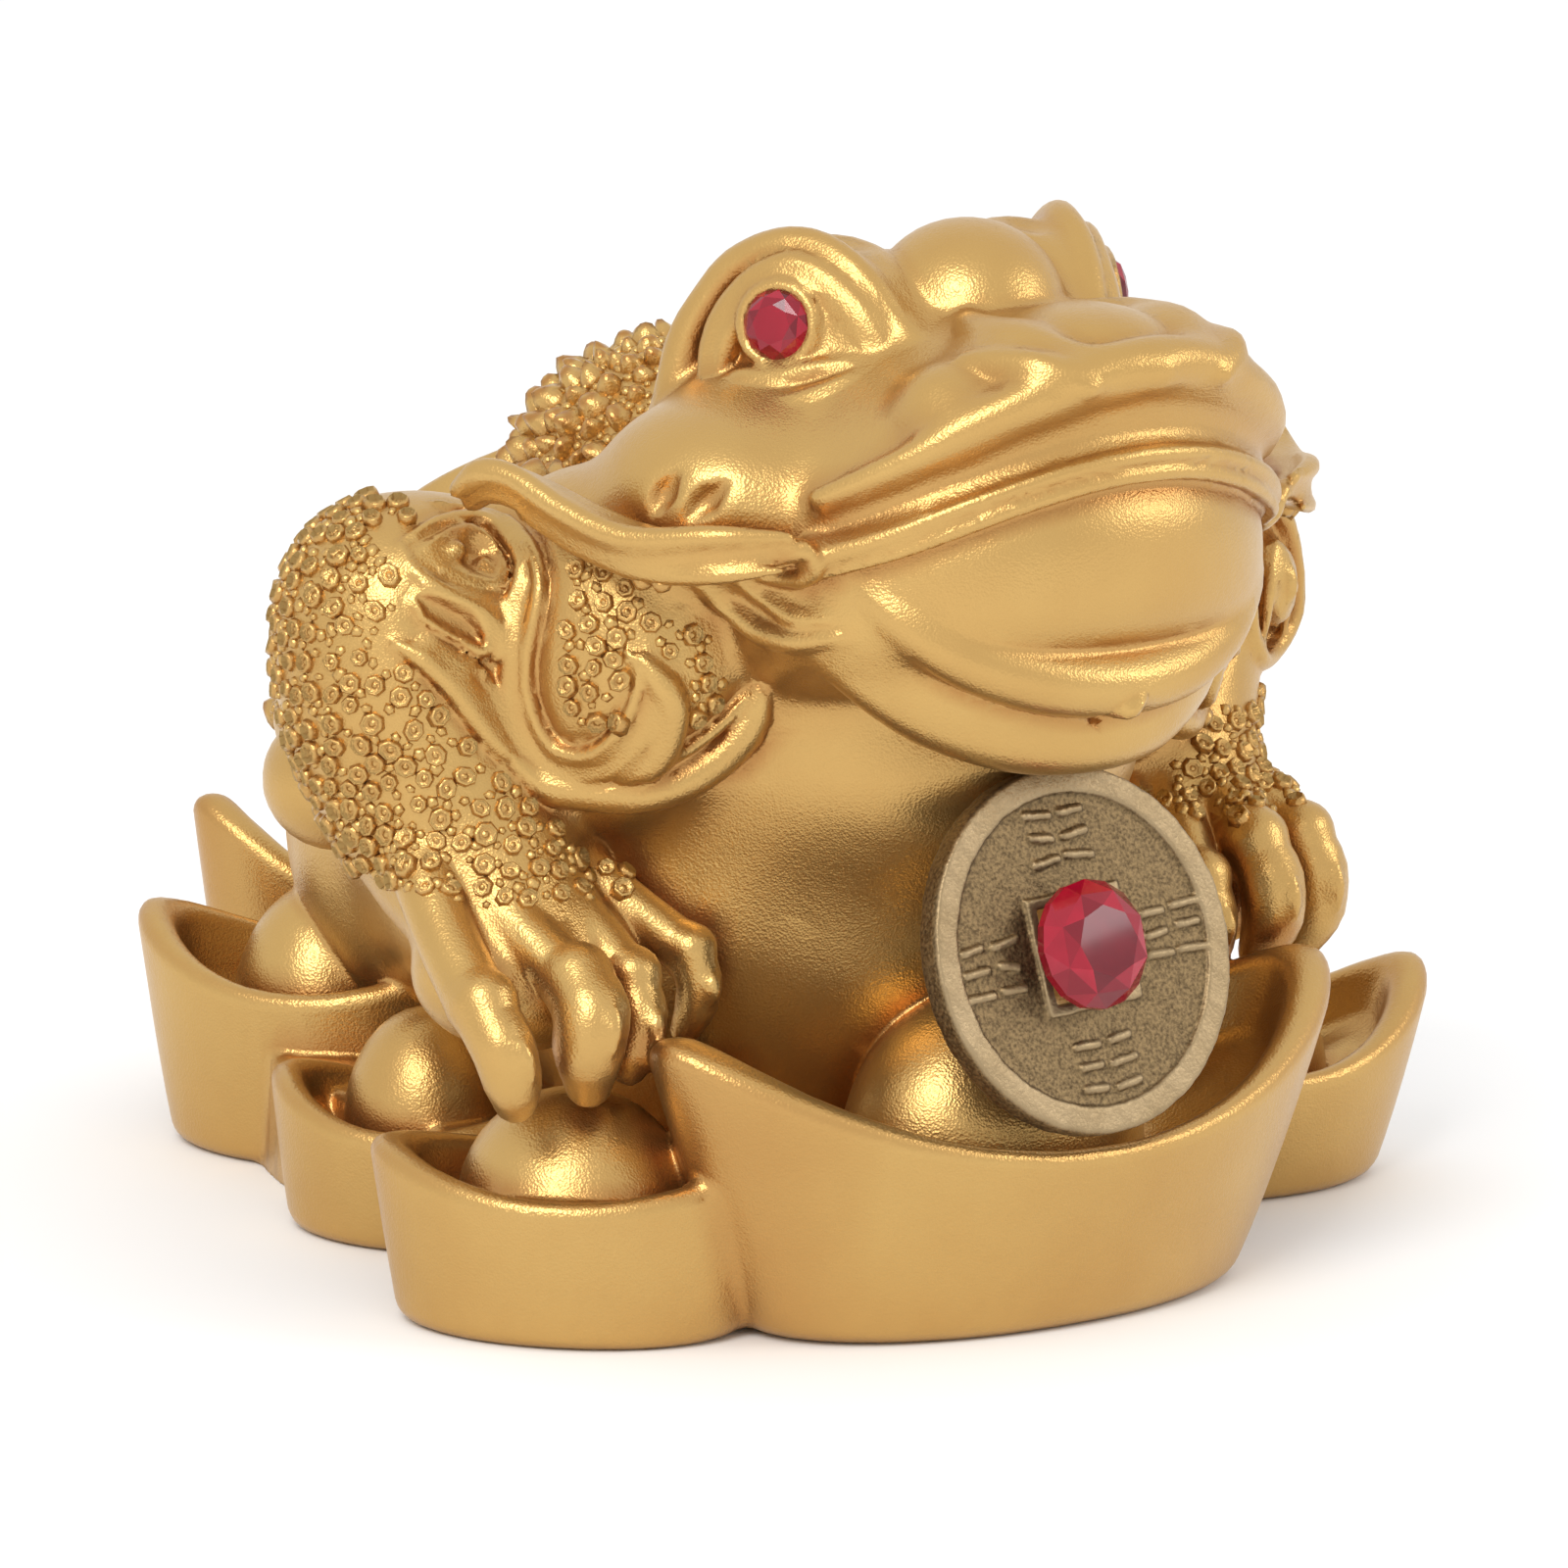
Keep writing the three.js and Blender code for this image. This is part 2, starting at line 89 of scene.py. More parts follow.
def ball(pile, centre, radii, soft=1.0, cut=False, drop=0.0, blunt=2.0, turn=None):
    # an ellipsoid: distance is (k-1)k/g, with k the scaled radius and g that of its slope
    # blunt above 2 makes its flanks upright, drop lets its ends sag, turn is a rotation matrix
    centre, radii = np.array(centre, float), np.array(radii, float)

    def shape(points):
        offset = points - centre
        if turn is not None:
            offset = offset @ turn
        x, y, z = offset[:, 0] / radii[0], offset[:, 1] / radii[1], offset[:, 2] / radii[2]
        z = z + drop * x * x / radii[2]
        if blunt == 2.0:
            k = np.sqrt(x * x + y * y + z * z) + 1e-9
            g = np.sqrt((x / radii[0]) ** 2 + (y / radii[1]) ** 2 + (z / radii[2]) ** 2) + 1e-9
            return k * (k - 1) / g
        flat = np.hypot(x, y) + 1e-9
        k = (flat ** blunt + np.abs(z) ** blunt) ** (1 / blunt) + 1e-9
        share = (flat / k) ** (blunt - 1)
        rise = (np.abs(z) / k) ** (blunt - 1)
        level = share ** 2 * ((x / flat / radii[0]) ** 2 + (y / flat / radii[1]) ** 2)
        return (k - 1) / (np.sqrt(level + (rise / radii[2]) ** 2) + 1e-9)

    reach = np.full(3, radii.max()) if turn is not None else radii + [0, 0, abs(drop)]
    press(pile, shape, centre - reach, centre + reach, soft, cut)


def spline(points, count):
    # a smooth cubic curve through the points, sampled evenly in its parameter
    points = np.array(points, float)
    ends = np.vstack([2 * points[0] - points[1], points, 2 * points[-1] - points[-2]])
    t = np.linspace(0, len(points) - 1, count)
    i = np.minimum(t.astype(int), len(points) - 2)
    f = (t - i)[:, None]
    a, b, c, d = ends[i], ends[i + 1], ends[i + 2], ends[i + 3]
    return 0.5 * (2 * b + (c - a) * f + (2 * a - 5 * b + 4 * c - d) * f ** 2
                  + (3 * b - a - 3 * c + d) * f ** 3)


def roll(pile, points, radii, soft=0.6, cut=False, count=20):
    # a roll of clay along a curve: distance to each short piece of it, less the radius there
    path = spline(points, count)
    radius = np.interp(np.linspace(0, 1, count), np.linspace(0, 1, len(radii)), radii)

    def shape(points):
        nearest = np.full(len(points), np.inf, np.float32)
        for a, b, ra, rb in zip(path[:-1], path[1:], radius[:-1], radius[1:]):
            along = b - a
            offset = points - a
            t = np.clip(offset @ along / (along @ along + 1e-9), 0, 1)
            away = offset - t[:, None] * along
            gap = np.sqrt(np.einsum("ij,ij->i", away, away)) - (ra + (rb - ra) * t)
            nearest = np.minimum(nearest, gap)
        return nearest

    press(pile, shape, path.min(0) - radius.max(), path.max(0) + radius.max(), soft, cut)


def fieldAt(points):
    # distances at single points, from every pile
    points = np.asarray(points, float)
    whole = np.full(len(points), clay["farAway"])
    for pile in piles.values():
        field = np.full(len(points), clay["farAway"])
        for shape, low, high, soft, cut in pile:
            near = np.nonzero(((points > low) & (points < high)).all(1))[0]
            if len(near):
                field[near] = melt(field[near], shape(points[near]), soft, cut)
        whole = melt(whole, field, clay["pileBlend"])
    return np.maximum(whole, -points[:, 2])  # flat underside


def slopeAt(points, step=0.25):
    # outward unit normals: differences of the field to both sides of each point
    count = len(points)
    shifts = np.vstack([np.eye(3), -np.eye(3)]) * step
    values = fieldAt((points[None] + shifts[:, None]).reshape(-1, 3)).reshape(6, count)
    slope = (values[:3] - values[3:]).T
    return slope / (np.linalg.norm(slope, axis=1, keepdims=True) + 1e-9)


def laid(points, lift=0.0, turns=4, longestStep=3):
    # walks points to the skin as sculpted so far, then lifts them off it
    points = np.array(points, float)
    for _ in range(turns):
        points = points - slopeAt(points) * np.clip(fieldAt(points), -longestStep, longestStep)[:, None]
    return points + slopeAt(points) * lift


def placer(side):
    # carries places given for the toad's right side to its right side (-1) or its left side (1)
    return lambda points: np.array(points, float) * [-side, 1, 1]


# ring of ingots
ingotRing = {
    "rimWidth": 2.2,
    "tipLean": 0.96,  # how much shorter the foot is, beside its share of the width
    "tipPinch": 0.35,  # the less, the sharper the tips are in plan
    "rimRise": 2.2,  # the more, the later the rim starts to climb to its tips
    "wallBow": 0.85,  # below 1 the wall flares more near the foot than near the rim
    "footWall": 0.22,  # how much thicker the wall is at the foot, as a share of the radius
    "dishFloor": 0.5, "dishRise": 0.42,  # the dish's floor and its climb outwards, in heights of the rim
    "oblique": (1.15, 0.55, 1),  # a wall met aslant: gain, and the least and most that its thickness keeps
    "roundRim": 1.8, "roundFoot": 1.6, "roundDish": 1.0,
    "soft": 0.9,
    "places": [
        # middle, turn in degrees, half length and width, rim at waist and tip, share of the foot, dome
        ((1, -26), 0, 33, 15.4, 15.3, 24.5, 0.71, (13, 9.5, 25)),
        ((-31, -15), 136, 16, 10.5, 12, 14.5, 0.86, (9, 8.5, 18.5)),
        ((-23.5, 14.5), 125, 13, 10, 10, 13, 0.86, (6.5, 6.5, 18)),
        ((-14.5, 41), 122, 16.5, 11, 15, 19.5, 0.78, (7.5, 7.5, 22)),
        ((4, 57), 165, 18, 11, 17, 25.5, 0.78, (8.5, 7.5, 22)),
        ((25, 38), 58, 17, 11, 15, 20, 0.78, (7.5, 7.5, 21)),
        ((32, 15), 65, 14, 10.5, 12, 16, 0.84, (6.5, 6.5, 16)),
        ((41, -6), -8, 19, 11.5, 11, 17.5, 0.74, (8.5, 8, 18)),
    ],
    "filling": ((27.5, 42, 10), (0, 14)),  # radii and height, middle: a low drum between the ingots
    "fillingBox": ((-28, -28, 0), (28, 56, 10)),
    "fillingSoft": 0.6,
}


def pinched(angle):
    # width of the plan beside an ellipse: 1 at the waist, least at the tips
    return np.sqrt(ingotRing["tipPinch"] + (1 - ingotRing["tipPinch"]) * np.sin(angle))


def ingot(at, turn, long, wide, waist, tip, foot, dome):
    # a boat: its plan is an ellipse pinched towards both tips, its wall flares, its rim rises to the tips
    heading = math.radians(turn)
    axes = np.array([[math.cos(heading), math.sin(heading)], [-math.sin(heading), math.cos(heading)]])
    angles = np.linspace(0, math.pi / 2, 200)
    seen = np.arctan2(np.sin(angles) * pinched(angles), np.cos(angles))
    wall = ingotRing["rimWidth"] / wide
    gain, least, most = ingotRing["oblique"]

    def boat(points):
        plan = (points[:, :2] - at) @ axes.T
        u, v, z = np.abs(plan[:, 0]) / long, np.abs(plan[:, 1]) / wide, points[:, 2]
        phi = np.interp(np.arctan2(v, u), seen, angles)
        rim = waist + (tip - waist) * np.cos(phi) ** ingotRing["rimRise"]
        h = np.clip(z / rim, 0, 1.2)
        level = np.minimum(h, 1)
        # the foot is a plain shorter ellipse, the rim is pinched to both tips
        u = u / (ingotRing["tipLean"] + (1 - ingotRing["tipLean"]) * level)
        squeeze = 1 + (pinched(phi) - 1) * level
        r = np.hypot(u, v / squeeze)
        size = np.hypot(np.cos(phi) * long, np.sin(phi) * wide * squeeze)
        # an oblique wall is thinner than it is along the radius from the middle
        size = size * np.clip(wide * squeeze / size * gain, least, most)
        outside = foot + (1 - foot) * h ** ingotRing["wallBow"]
        form = rounded((r - outside) * size, z - rim, ingotRing["roundRim"])
        form = rounded(form, -z, ingotRing["roundFoot"])
        inside = 1 - wall - ingotRing["footWall"] * np.clip(1 - h, 0, 1)
        floor = rim * (ingotRing["dishFloor"] + ingotRing["dishRise"] * r ** 3)
        dish = rounded((r - inside) * size, floor - z, ingotRing["roundDish"])
        return rounded(form, -dish, ingotRing["roundRim"])

    (x, y), (spanX, spanY) = at, np.abs(axes.T) @ [long, wide]
    press("ingots", boat, (x - spanX, y - spanY, 0), (x + spanX, y + spanY, tip), ingotRing["soft"])
    turned = np.eye(3)
    turned[:2, :2] = axes.T
    width, depth, height = dome
    ball("ingots", (x, y, height / 2), (width, depth, height / 2), ingotRing["soft"], turn=turned)


def filling(points):
    # the greater of the distances to an upright elliptic wall and to its flat top
    (wide, deep, high), (x, y) = ingotRing["filling"]
    k = np.hypot((points[:, 0] - x) / wide, (points[:, 1] - y) / deep)
    return rounded((k - 1) * min(wide, deep), points[:, 2] - high, 1.0)


for place in ingotRing["places"]:
    ingot(*place)
press("ingots", filling, *ingotRing["fillingBox"], ingotRing["fillingSoft"])
print("ingots laid out")

# large forms of the toad: middle, radii, how softly each melts in, and settings of its own
body = {
    "trunk": ((0, 2, 34), (27, 27, 30), 1),
    "chest": ((0, -10, 43), (21, 22, 14), 5),
    "hump": ((0, 14, 56.8), (13.0, 14.4, 12.4), 5),
    "back": ((0, 22, 40), (21.5, 23.5, 17.5), 4),
    "rump": ((0, 34, 28), (20, 18, 22), 6),
}
bodyPairs = {
    "flank": ((13, 21, 28.5), (9.5, 11.5, 12.5), 4),
    "shoulder": ((24, -8, 51), (10, 13, 14), 4),
}
head = {
    "skull": ((0, -14, 66), (21, 16, 12), 5),
    "snout": ((0, -24.5, 73), (22.3, 18.6, 5.5), 3, {"drop": 10.5, "blunt": 2.6}),
    "pouch": ((0, -24.5, 61), (22, 19.6, 10), 1.5, {"drop": 4, "blunt": 2.8}),
    "neck": ((0, -14, 55), (22, 18.5, 14), 4),
}
headPairs = {
    "jowl": ((20.2, -17.6, 64.0), (9.2, 10.4, 7.4), 3.5),
    "eyeMound": ((8.8, -16, 75.2), (6.8, 9.2, 7.4), 2.5),
}


def pressBalls(forms, side=1):
    # places are those of the left side, and side -1 mirrors them
    for (x, y, z), radii, soft, *settings in forms.values():
        ball("toad", (side * x, y, z), radii, soft, **dict(*settings))


pressBalls(body)
for side in (-1, 1):
    pressBalls(bodyPairs, side)
pressBalls(head)
for side in (-1, 1):
    pressBalls(headPairs, side)

# mouth: a wide shallow channel between the upper lip and a double ridge on the pouch
mouth = {
    "halfWidth": 21.8,
    "share": 0.94,  # of the snout's width at the corners
    "middle": -25, "reach": 19,  # the snout's middle in y, and how far the lips stand in front of it
    "lines": {
        # height, sinking, inset and reach of the line; radii across it; softness, cut or not, samples
        "pouchEdge": ((68.9, 7.4, 2.6), (1.4, 2.0, 2.2, 2.2, 2.2, 2.0, 1.4), 1.0, False, 36),
        "channel": ((72.5, 8.6, -2.0), (0.9, 2.2, 2.8, 2.8, 2.8, 2.2, 0.9), 1.6, True, 36),
        "upperLip": ((76.2, 10.2, 0.9), (0.6, 1.4, 1.9, 2.0, 1.9, 1.4, 0.6), 2.6, False, 36),
        "upperRidge": ((69.3, 7.4, 0.3, 1.02), (0.3, 0.6, 0.68, 0.68, 0.68, 0.6, 0.3), 0.3, False, 72),
        "lowerRidge": ((67.9, 8.0, 0.3, 1.02), (0.3, 0.6, 0.68, 0.68, 0.68, 0.6, 0.3), 0.3, False, 72),
    },
}


def lipLine(top, drop, inset=0.0, reach=1.0):
    # runs round the snout's ellipse and sinks with the square of the way to the corner
    share = np.linspace(-reach, reach, 13)
    y = mouth["middle"] - (mouth["reach"] - inset) * np.sqrt(1 - (share * mouth["share"]) ** 2)
    return np.stack([share * mouth["halfWidth"], y, top - drop * share ** 2], 1)


def ridge(points, radius, soft):
    # a crisp raised line on the skin, thinner at both ends
    ends = radius * 0.4
    roll("toad", laid(points), (ends, radius, radius, radius, ends), soft, count=4 * len(points))


for line, radii, soft, cut, count in mouth["lines"].values():
    roll("toad", lipLine(*line), radii, soft, cut, count)

# forehead and nose: a low lens in a rim, with a leaf-shaped fold and a bump beside it
forehead = {"bulge": ((0, -21.2, 77.3), (7.4, 7.6, 6.7), 0.8)}
nosePairs = {
    "nostril": ((7, -36.2, 75.4), (4, 5.2, 3.6), 2.5),
    "bump": ((12.9, -34.8, 72.6), (3.4, 3.8, 3.2), 2.6),
}
nose = {"lens": ((0, -35.6, 76.9), (6.0, 6.6, 2.7), 0.35)}
noseRim = [[-5, -27.5, 77.2], [-7.4, -31.5, 77.6], [-7.8, -36.5, 77.3], [-6.0, -40.6, 76.6],
           [-3.0, -43.2, 75.9], [0, -44.0, 75.8]]
noseFold = [[-11.6, -35.6, 76.2], [-10.4, -38.8, 76.4], [-8.9, -41.5, 75.7], [-6.4, -43.9, 75.0]]

pressBalls(forehead)
for side in (-1, 1):
    there = placer(side)
    pressBalls(nosePairs, side)
    roll("toad", there(noseRim), (1.0, 1.3, 1.3, 1.2, 1.2), 0.9, count=24)
    ridge(there(noseFold), 0.9, 1.2)
pressBalls(nose)

# eyes: each has a plane of its own, as its gem faces: along leads to the snout, upright up the head
eye = {
    "gem": (16.1, -18.4, 76.7),  # middle of the gem's girdle on the left side
    "turn": 62.0,  # degrees from straight ahead
    "tilt": 8.0,
    "gemRadius": 2.7,
    "ballRadii": (4.8, 4.6, 4.0), "ballSunk": 3.6, "ballAhead": 0.4,
    "rimGap": 0.3, "rimRadius": 0.5,
    "dent": (-8.6, -17.6, 83.6), "dentRadii": (1.6, 3.6, 1.9),  # on the brow's inner side
}
brow = {
    "path": [[-18.2, -8.2, 68], [-17.4, -8.8, 74], [-16.2, -10.2, 77.6], [-15.0, -11.9, 80.2],
             [-13.6, -14.9, 82.0], [-12.2, -17.6, 82.3], [-11.3, -20.4, 81.3], [-10.5, -22.6, 79.6],
             [-9.7, -24.6, 77.3], [-9.2, -26.6, 75.6]],
    "radii": (1.8, 1.6, 1.5, 1.5, 1.4, 1.3, 1.2, 1.1, 1.0, 0.8),
}
# folds round the eye: places in its plane, radii, softness, samples
upperLids = {
    "outer": ([[-6.2, -5.2, -1.8], [-5.9, -2.2, -1.6], [-4.8, 0.6, -1.5], [-2.9, 3.0, -1.5],
               [-0.9, 4.2, -1.5], [0.5, 4.5, -1.5], [2.7, 3.9, -1.5], [5.5, 2.1, -1.5],
               [7.5, -0.1, -1.5], [8.8, -2.0, -1.6]], (0.9, 1.2, 1.2, 1.2, 1.2, 1.2, 0.7), 0.25, 40),
    "inner": ([[-5.2, -4.4, -1.3], [-4.6, -2.0, -1.2], [-4.0, -0.4, -1.2], [-2.5, 2.1, -1.2],
               [-1.1, 3.2, -1.2], [0.7, 3.4, -1.2], [2.9, 2.9, -1.2], [5.2, 1.5, -1.2],
               [6.8, -0.6, -1.2], [8.4, -2.3, -1.3]], (0.8, 1.1, 1.1, 1.1, 1.1, 1.1, 0.6), 0.25, 40),
}
lowerLids = {
    "lid": ([[-4.3, -5.0, 0.0], [-2.4, -4.3, 0.2], [0.2, -4.2, 0.4], [2.7, -3.3, 0.3], [5.2, -2.6, 0.1],
             [7.8, -2.1, -0.2]], (0.4, 0.9, 1.0, 0.9, 0.6, 0.3), 0.35, 24),
    "bag": ([[-4.8, -6.2, 0.5], [-1.2, -6.5, 1.3], [1.5, -6.4, 1.6], [4.6, -5.0, 1.3], [6.9, -3.5, 0.7],
             [8.2, -2.6, 0.1]], (0.6, 1.1, 1.3, 1.1, 0.7, 0.3), 0.35, 24),
}


def eyeAxes(side):
    # middle of the gem's girdle, then along, upright and out as unit vectors
    turn, tilt = math.radians(eye["turn"]), math.radians(eye["tilt"])
    flat = math.cos(tilt)
    out = np.array([side * math.sin(turn) * flat, -math.cos(turn) * flat, math.sin(tilt)])
    along = np.array([-side * math.cos(turn), -math.sin(turn), 0.0])
    upright = np.cross(along, out) * side
    return np.array(eye["gem"]) * [side, 1, 1], along, upright, out


def inEye(side, points):
    # places given as along, upright and the rise over the girdle
    middle, along, upright, out = eyeAxes(side)
    return middle + np.array(points, float) @ np.stack([along, upright, out])


def pressLids(side, lids):
    for points, radii, soft, count in lids.values():
        roll("toad", inEye(side, points), radii, soft, count=count)


for side in (-1, 1):
    there = placer(side)
    middle, along, upright, out = eyeAxes(side)
    turn = np.stack([along, upright, out], 1)
    ball("toad", middle - out * eye["ballSunk"] + along * eye["ballAhead"], eye["ballRadii"], 1.0, turn=turn)
    roll("toad", there(brow["path"]), brow["radii"], 1.0, count=40)
    pressLids(side, upperLids)
    ring = np.linspace(0, 2 * math.pi, 17)
    reach = eye["gemRadius"] + eye["rimGap"]
    rim = inEye(side, np.stack([reach * np.cos(ring), reach * np.sin(ring), np.full(17, 0.1)], 1))
    roll("toad", rim, (eye["rimRadius"], eye["rimRadius"]), 0.5, count=33)
    pressLids(side, lowerLids)
    ball("toad", there(eye["dent"]), eye["dentRadii"], 0.7, cut=True)

# cheeks: two dents each, a whisker, and layered folds at the mouth's corners
cheekDents = (([-29.6, -20.4, 63.8], [-28.4, -21.8, 66.9]), ([-28.2, -23.4, 63.8], [-26.2, -25.2, 66.5]))
# the whisker is a leaf from the mouth's corner back over the shoulder, level on top, its end curled up
whisker = {
    # path, radii, softness, samples
    "leaf": ([[-23.4, -31.2, 62.2], [-27.6, -27.6, 61.6], [-30.6, -22.0, 61.2], [-32.8, -16.8, 62.6],
              [-34.6, -12.4, 64.4], [-35.6, -9.0, 64.8], [-36.0, -6.4, 63.2]],
             (0.9, 1.6, 2.0, 1.9, 1.6, 1.6, 1.1), 0.6, 28),
    "outerEdge": ([[-24.6, -31.4, 63.3], [-29.0, -28.0, 63.2], [-32.6, -21.8, 62.4], [-34.8, -16.6, 63.9],
                   [-36.2, -12.2, 65.8], [-37.2, -9.4, 65.8], [-37.6, -7.2, 64.2]],
                  (0.4, 0.9, 1.0, 1.0, 1.0, 1.1, 0.7), 0.7, 28),
    "keel": ([[-25.4, -31.6, 60.9], [-29.0, -28.0, 60.2], [-31.4, -22.4, 59.8], [-33.4, -16.8, 61.0],
              [-35.2, -12.4, 62.8]], (0.3, 0.7, 0.8, 0.7, 0.4), 0.7, 20),
}
cornerFolds = {
    # path, radius, softness
    "low": ([[-25.4, -21.6, 58.0], [-24.0, -22.4, 56.0], [-22.8, -24.6, 54.6], [-22.2, -28.4, 54.4],
             [-20.6, -32.2, 55.2]], 1.0, 0.6),
    "middle": ([[-24.2, -24.4, 58.8], [-22.9, -25.6, 57.4], [-22.0, -28.4, 56.4], [-20.8, -31.4, 56.6]],
               0.7, 0.5),
    "high": ([[-23.4, -32.2, 62.8], [-22.2, -31.6, 61.0], [-22.2, -30.0, 59.6], [-22.8, -28.0, 59.0],
              [-23.6, -26.0, 59.0]], 0.7, 0.4),
}
for side in (-1, 1):
    there = placer(side)
    for low, high in cheekDents:
        middle = (np.array(low) + high) / 2
        roll("toad", laid(there([low, middle, high]), 0.15), (0.5, 1.25, 0.5), 0.35, cut=True, count=8)
    for points, radii, soft, count in whisker.values():
        roll("toad", there(points), radii, soft, count=count)
    for points, radius, soft in cornerFolds.values():
        ridge(there(points), radius, soft)

# throat: four crescents from the right corner to the middle, then mirrored, with a chip out of the lowest
throat = {
    "farJaw": 0.95,  # the left half beside the right half
    "folds": [
        # path, radii, softness
        ([[18.6, -30.4, 61], [16, -33.6, 58], [12, -36.2, 55.2], [6.5, -38.1, 53.6], [0, -38.9, 53.1]],
         (0.7, 2, 2.5, 2.6, 2.6), 1.2),
        ([[20.2, -27.8, 58.6], [17.2, -31, 54.4], [12.4, -33.9, 51], [6.4, -36.2, 49.2], [0, -37.2, 48.6]],
         (0.7, 2.2, 2.7, 2.8, 2.8), 1.2),
        ([[19.5, -32, 60.4], [17, -35.2, 57], [12.5, -37.9, 54], [6.5, -40.0, 52.0], [0, -40.8, 51.4]],
         (0.7, 1.8, 2.4, 2.6, 2.6), 0.6),
        ([[21.2, -27, 57.3], [17.8, -30, 53], [12.4, -33.2, 49.4], [6.2, -35.8, 47.3], [0, -36.8, 46.8]],
         (0.9, 2.1, 2.9, 3.1, 3.1), 0.8),
    ],
    "chip": [[-2.1, -41.2, 48.6], [-1.7, -41.2, 47.7], [-2.6, -40.9, 49.4]],
    "chipRadii": ((0.8, 0.9, 0.9), (0.6, 0.8, 0.7), (0.5, 0.7, 0.6)),
    "flap": [[-1.7, -41.7, 49.9], [-0.7, -42.2, 50.3], [0.4, -42.8, 50.9]],  # torn up beside the chip
}
for points, radii, soft in throat["folds"]:
    points = np.array(points, float)
    across = np.vstack([points * [-1, 1, 1], points[-2::-1] * [throat["farJaw"], 1, 1]])[::-1]
    roll("toad", across, radii + radii[-2::-1], soft, count=36)
for place, radii in zip(laid(throat["chip"]), throat["chipRadii"]):
    ball("toad", place, radii, 0.15, cut=True)
roll("toad", laid(throat["flap"], 0.15), (0.45, 0.8, 0.3), 0.25, count=8)

# forelegs and hands: each finger is the back of the hand up to a knuckle, then a blunt claw bent down
foreleg = {
    "path": [[-36.4, 1.2, 52.6], [-36.6, 0.4, 47.5], [-35, -1.6, 41], [-33.6, -4.5, 36], [-33.6, -8.6, 31.5]],
    "radii": (9.8, 9.8, 9.3, 8.6, 7.0),
    "shoulder": [[-24, 2, 51], [-31, 1, 51]], "shoulderRadii": (11, 10),
    "knuckleGrowth": 0.25,  # how much thicker a knuckle is than its claw
}
handPairs = {"palm": ((32.6, -10.5, 27.5), (9.6, 7.2, 6.6), 1.5)}
# fingers from the outermost in: back of the hand, claw, their radii
rightFingers = [
    ([[-40.4, -7, 36], [-41.6, -12.0, 31.4], [-42.4, -17.6, 27.0]],
     [[-42.4, -20.6, 24.6], [-41.6, -21.0, 21.8], [-40.2, -19.6, 19.6]],
     (2.6, 2.4, 2.5), (2.4, 2.5, 2.3, 1.7)),
    ([[-36.6, -9, 35.4], [-36.2, -14.4, 31.4], [-34.6, -18.8, 28.2]],
     [[-34.8, -21.6, 26.4], [-35.2, -22.0, 23.6], [-33.8, -20.2, 20.2]],
     (2.2, 2.0, 2.4), (2.6, 3.0, 2.8, 1.8)),
    ([[-31.6, -9.5, 35], [-30.2, -14.2, 31.4], [-28.6, -17.8, 27.6]],
     [[-28.8, -19.9, 25.2], [-29.2, -20.0, 22.8], [-28.9, -18.8, 20.6]],
     (2.2, 2.0, 2.1), (2.0, 2.1, 2.0, 1.4)),
    ([[-27, -9.4, 34.6], [-25.0, -13.2, 31.8], [-22.2, -16.6, 28.6]],
     [[-21.9, -18.0, 26.8], [-21.9, -17.9, 24.6], [-22.2, -17, 22.4]],
     (2.0, 1.8, 2.0), (1.8, 1.8, 1.7, 1.2)),
]
leftFingers = [
    ([[37.4, -7, 35.2], [38.6, -12.2, 33.0], [39.4, -15.8, 30.6]],
     [[40.0, -17.8, 28.2], [40.2, -17.8, 24.8], [40.0, -16.2, 21.6]],
     (2.3, 2.3, 2.4), (2.4, 2.5, 2.3, 1.5)),
    ([[33.6, -9, 35.4], [33.2, -14.4, 33.4], [32.8, -17.8, 31.2]],
     [[33.0, -20.4, 28.6], [33.2, -20.6, 25.4], [33.2, -19.0, 22.4]],
     (2.3, 2.3, 2.5), (2.5, 2.7, 2.5, 1.6)),
    ([[30.0, -9.6, 34.8], [28.6, -14.4, 32.0], [27.4, -18.0, 28.8]],
     [[27.6, -19.6, 26.4], [27.8, -19.4, 23.8], [28.0, -18.2, 21.8]],
     (2.2, 2.1, 2.2), (2.1, 2.2, 2.0, 1.4)),
    ([[27, -10, 34], [24.4, -14.2, 31.2], [22.4, -16.4, 28]],
     [[22.0, -17.6, 26.2], [21.9, -17.4, 24.0], [22.2, -16.6, 22]],
     (2.0, 1.8, 2.0), (1.8, 1.8, 1.7, 1.2)),
]
for side, fingers in ((-1, rightFingers), (1, leftFingers)):
    there = placer(side)
    roll("toad", there(foreleg["path"]), foreleg["radii"], 2.5, count=20)
    roll("toad", there(foreleg["shoulder"]), foreleg["shoulderRadii"], 3, count=4)
    pressBalls(handPairs, side)
    for back, claw, backRadii, clawRadii in fingers:
        knuckle = np.full(3, clawRadii[0] + foreleg["knuckleGrowth"])
        roll("toad", back, backRadii, 0.6, count=10)
        ball("toad", np.array(back[-1]) + [0, -0.8, 0.2], knuckle, 0.4)
        roll("toad", [back[-1]] + claw, clawRadii, 0.4, count=12)
        # a nail: a small raised keel on the front of the claw
        roll("toad", laid(np.array(claw[:2]) + [0, -2.4, 0.4], 0.1), (0.3, 0.75, 0.3), 0.3, count=6)

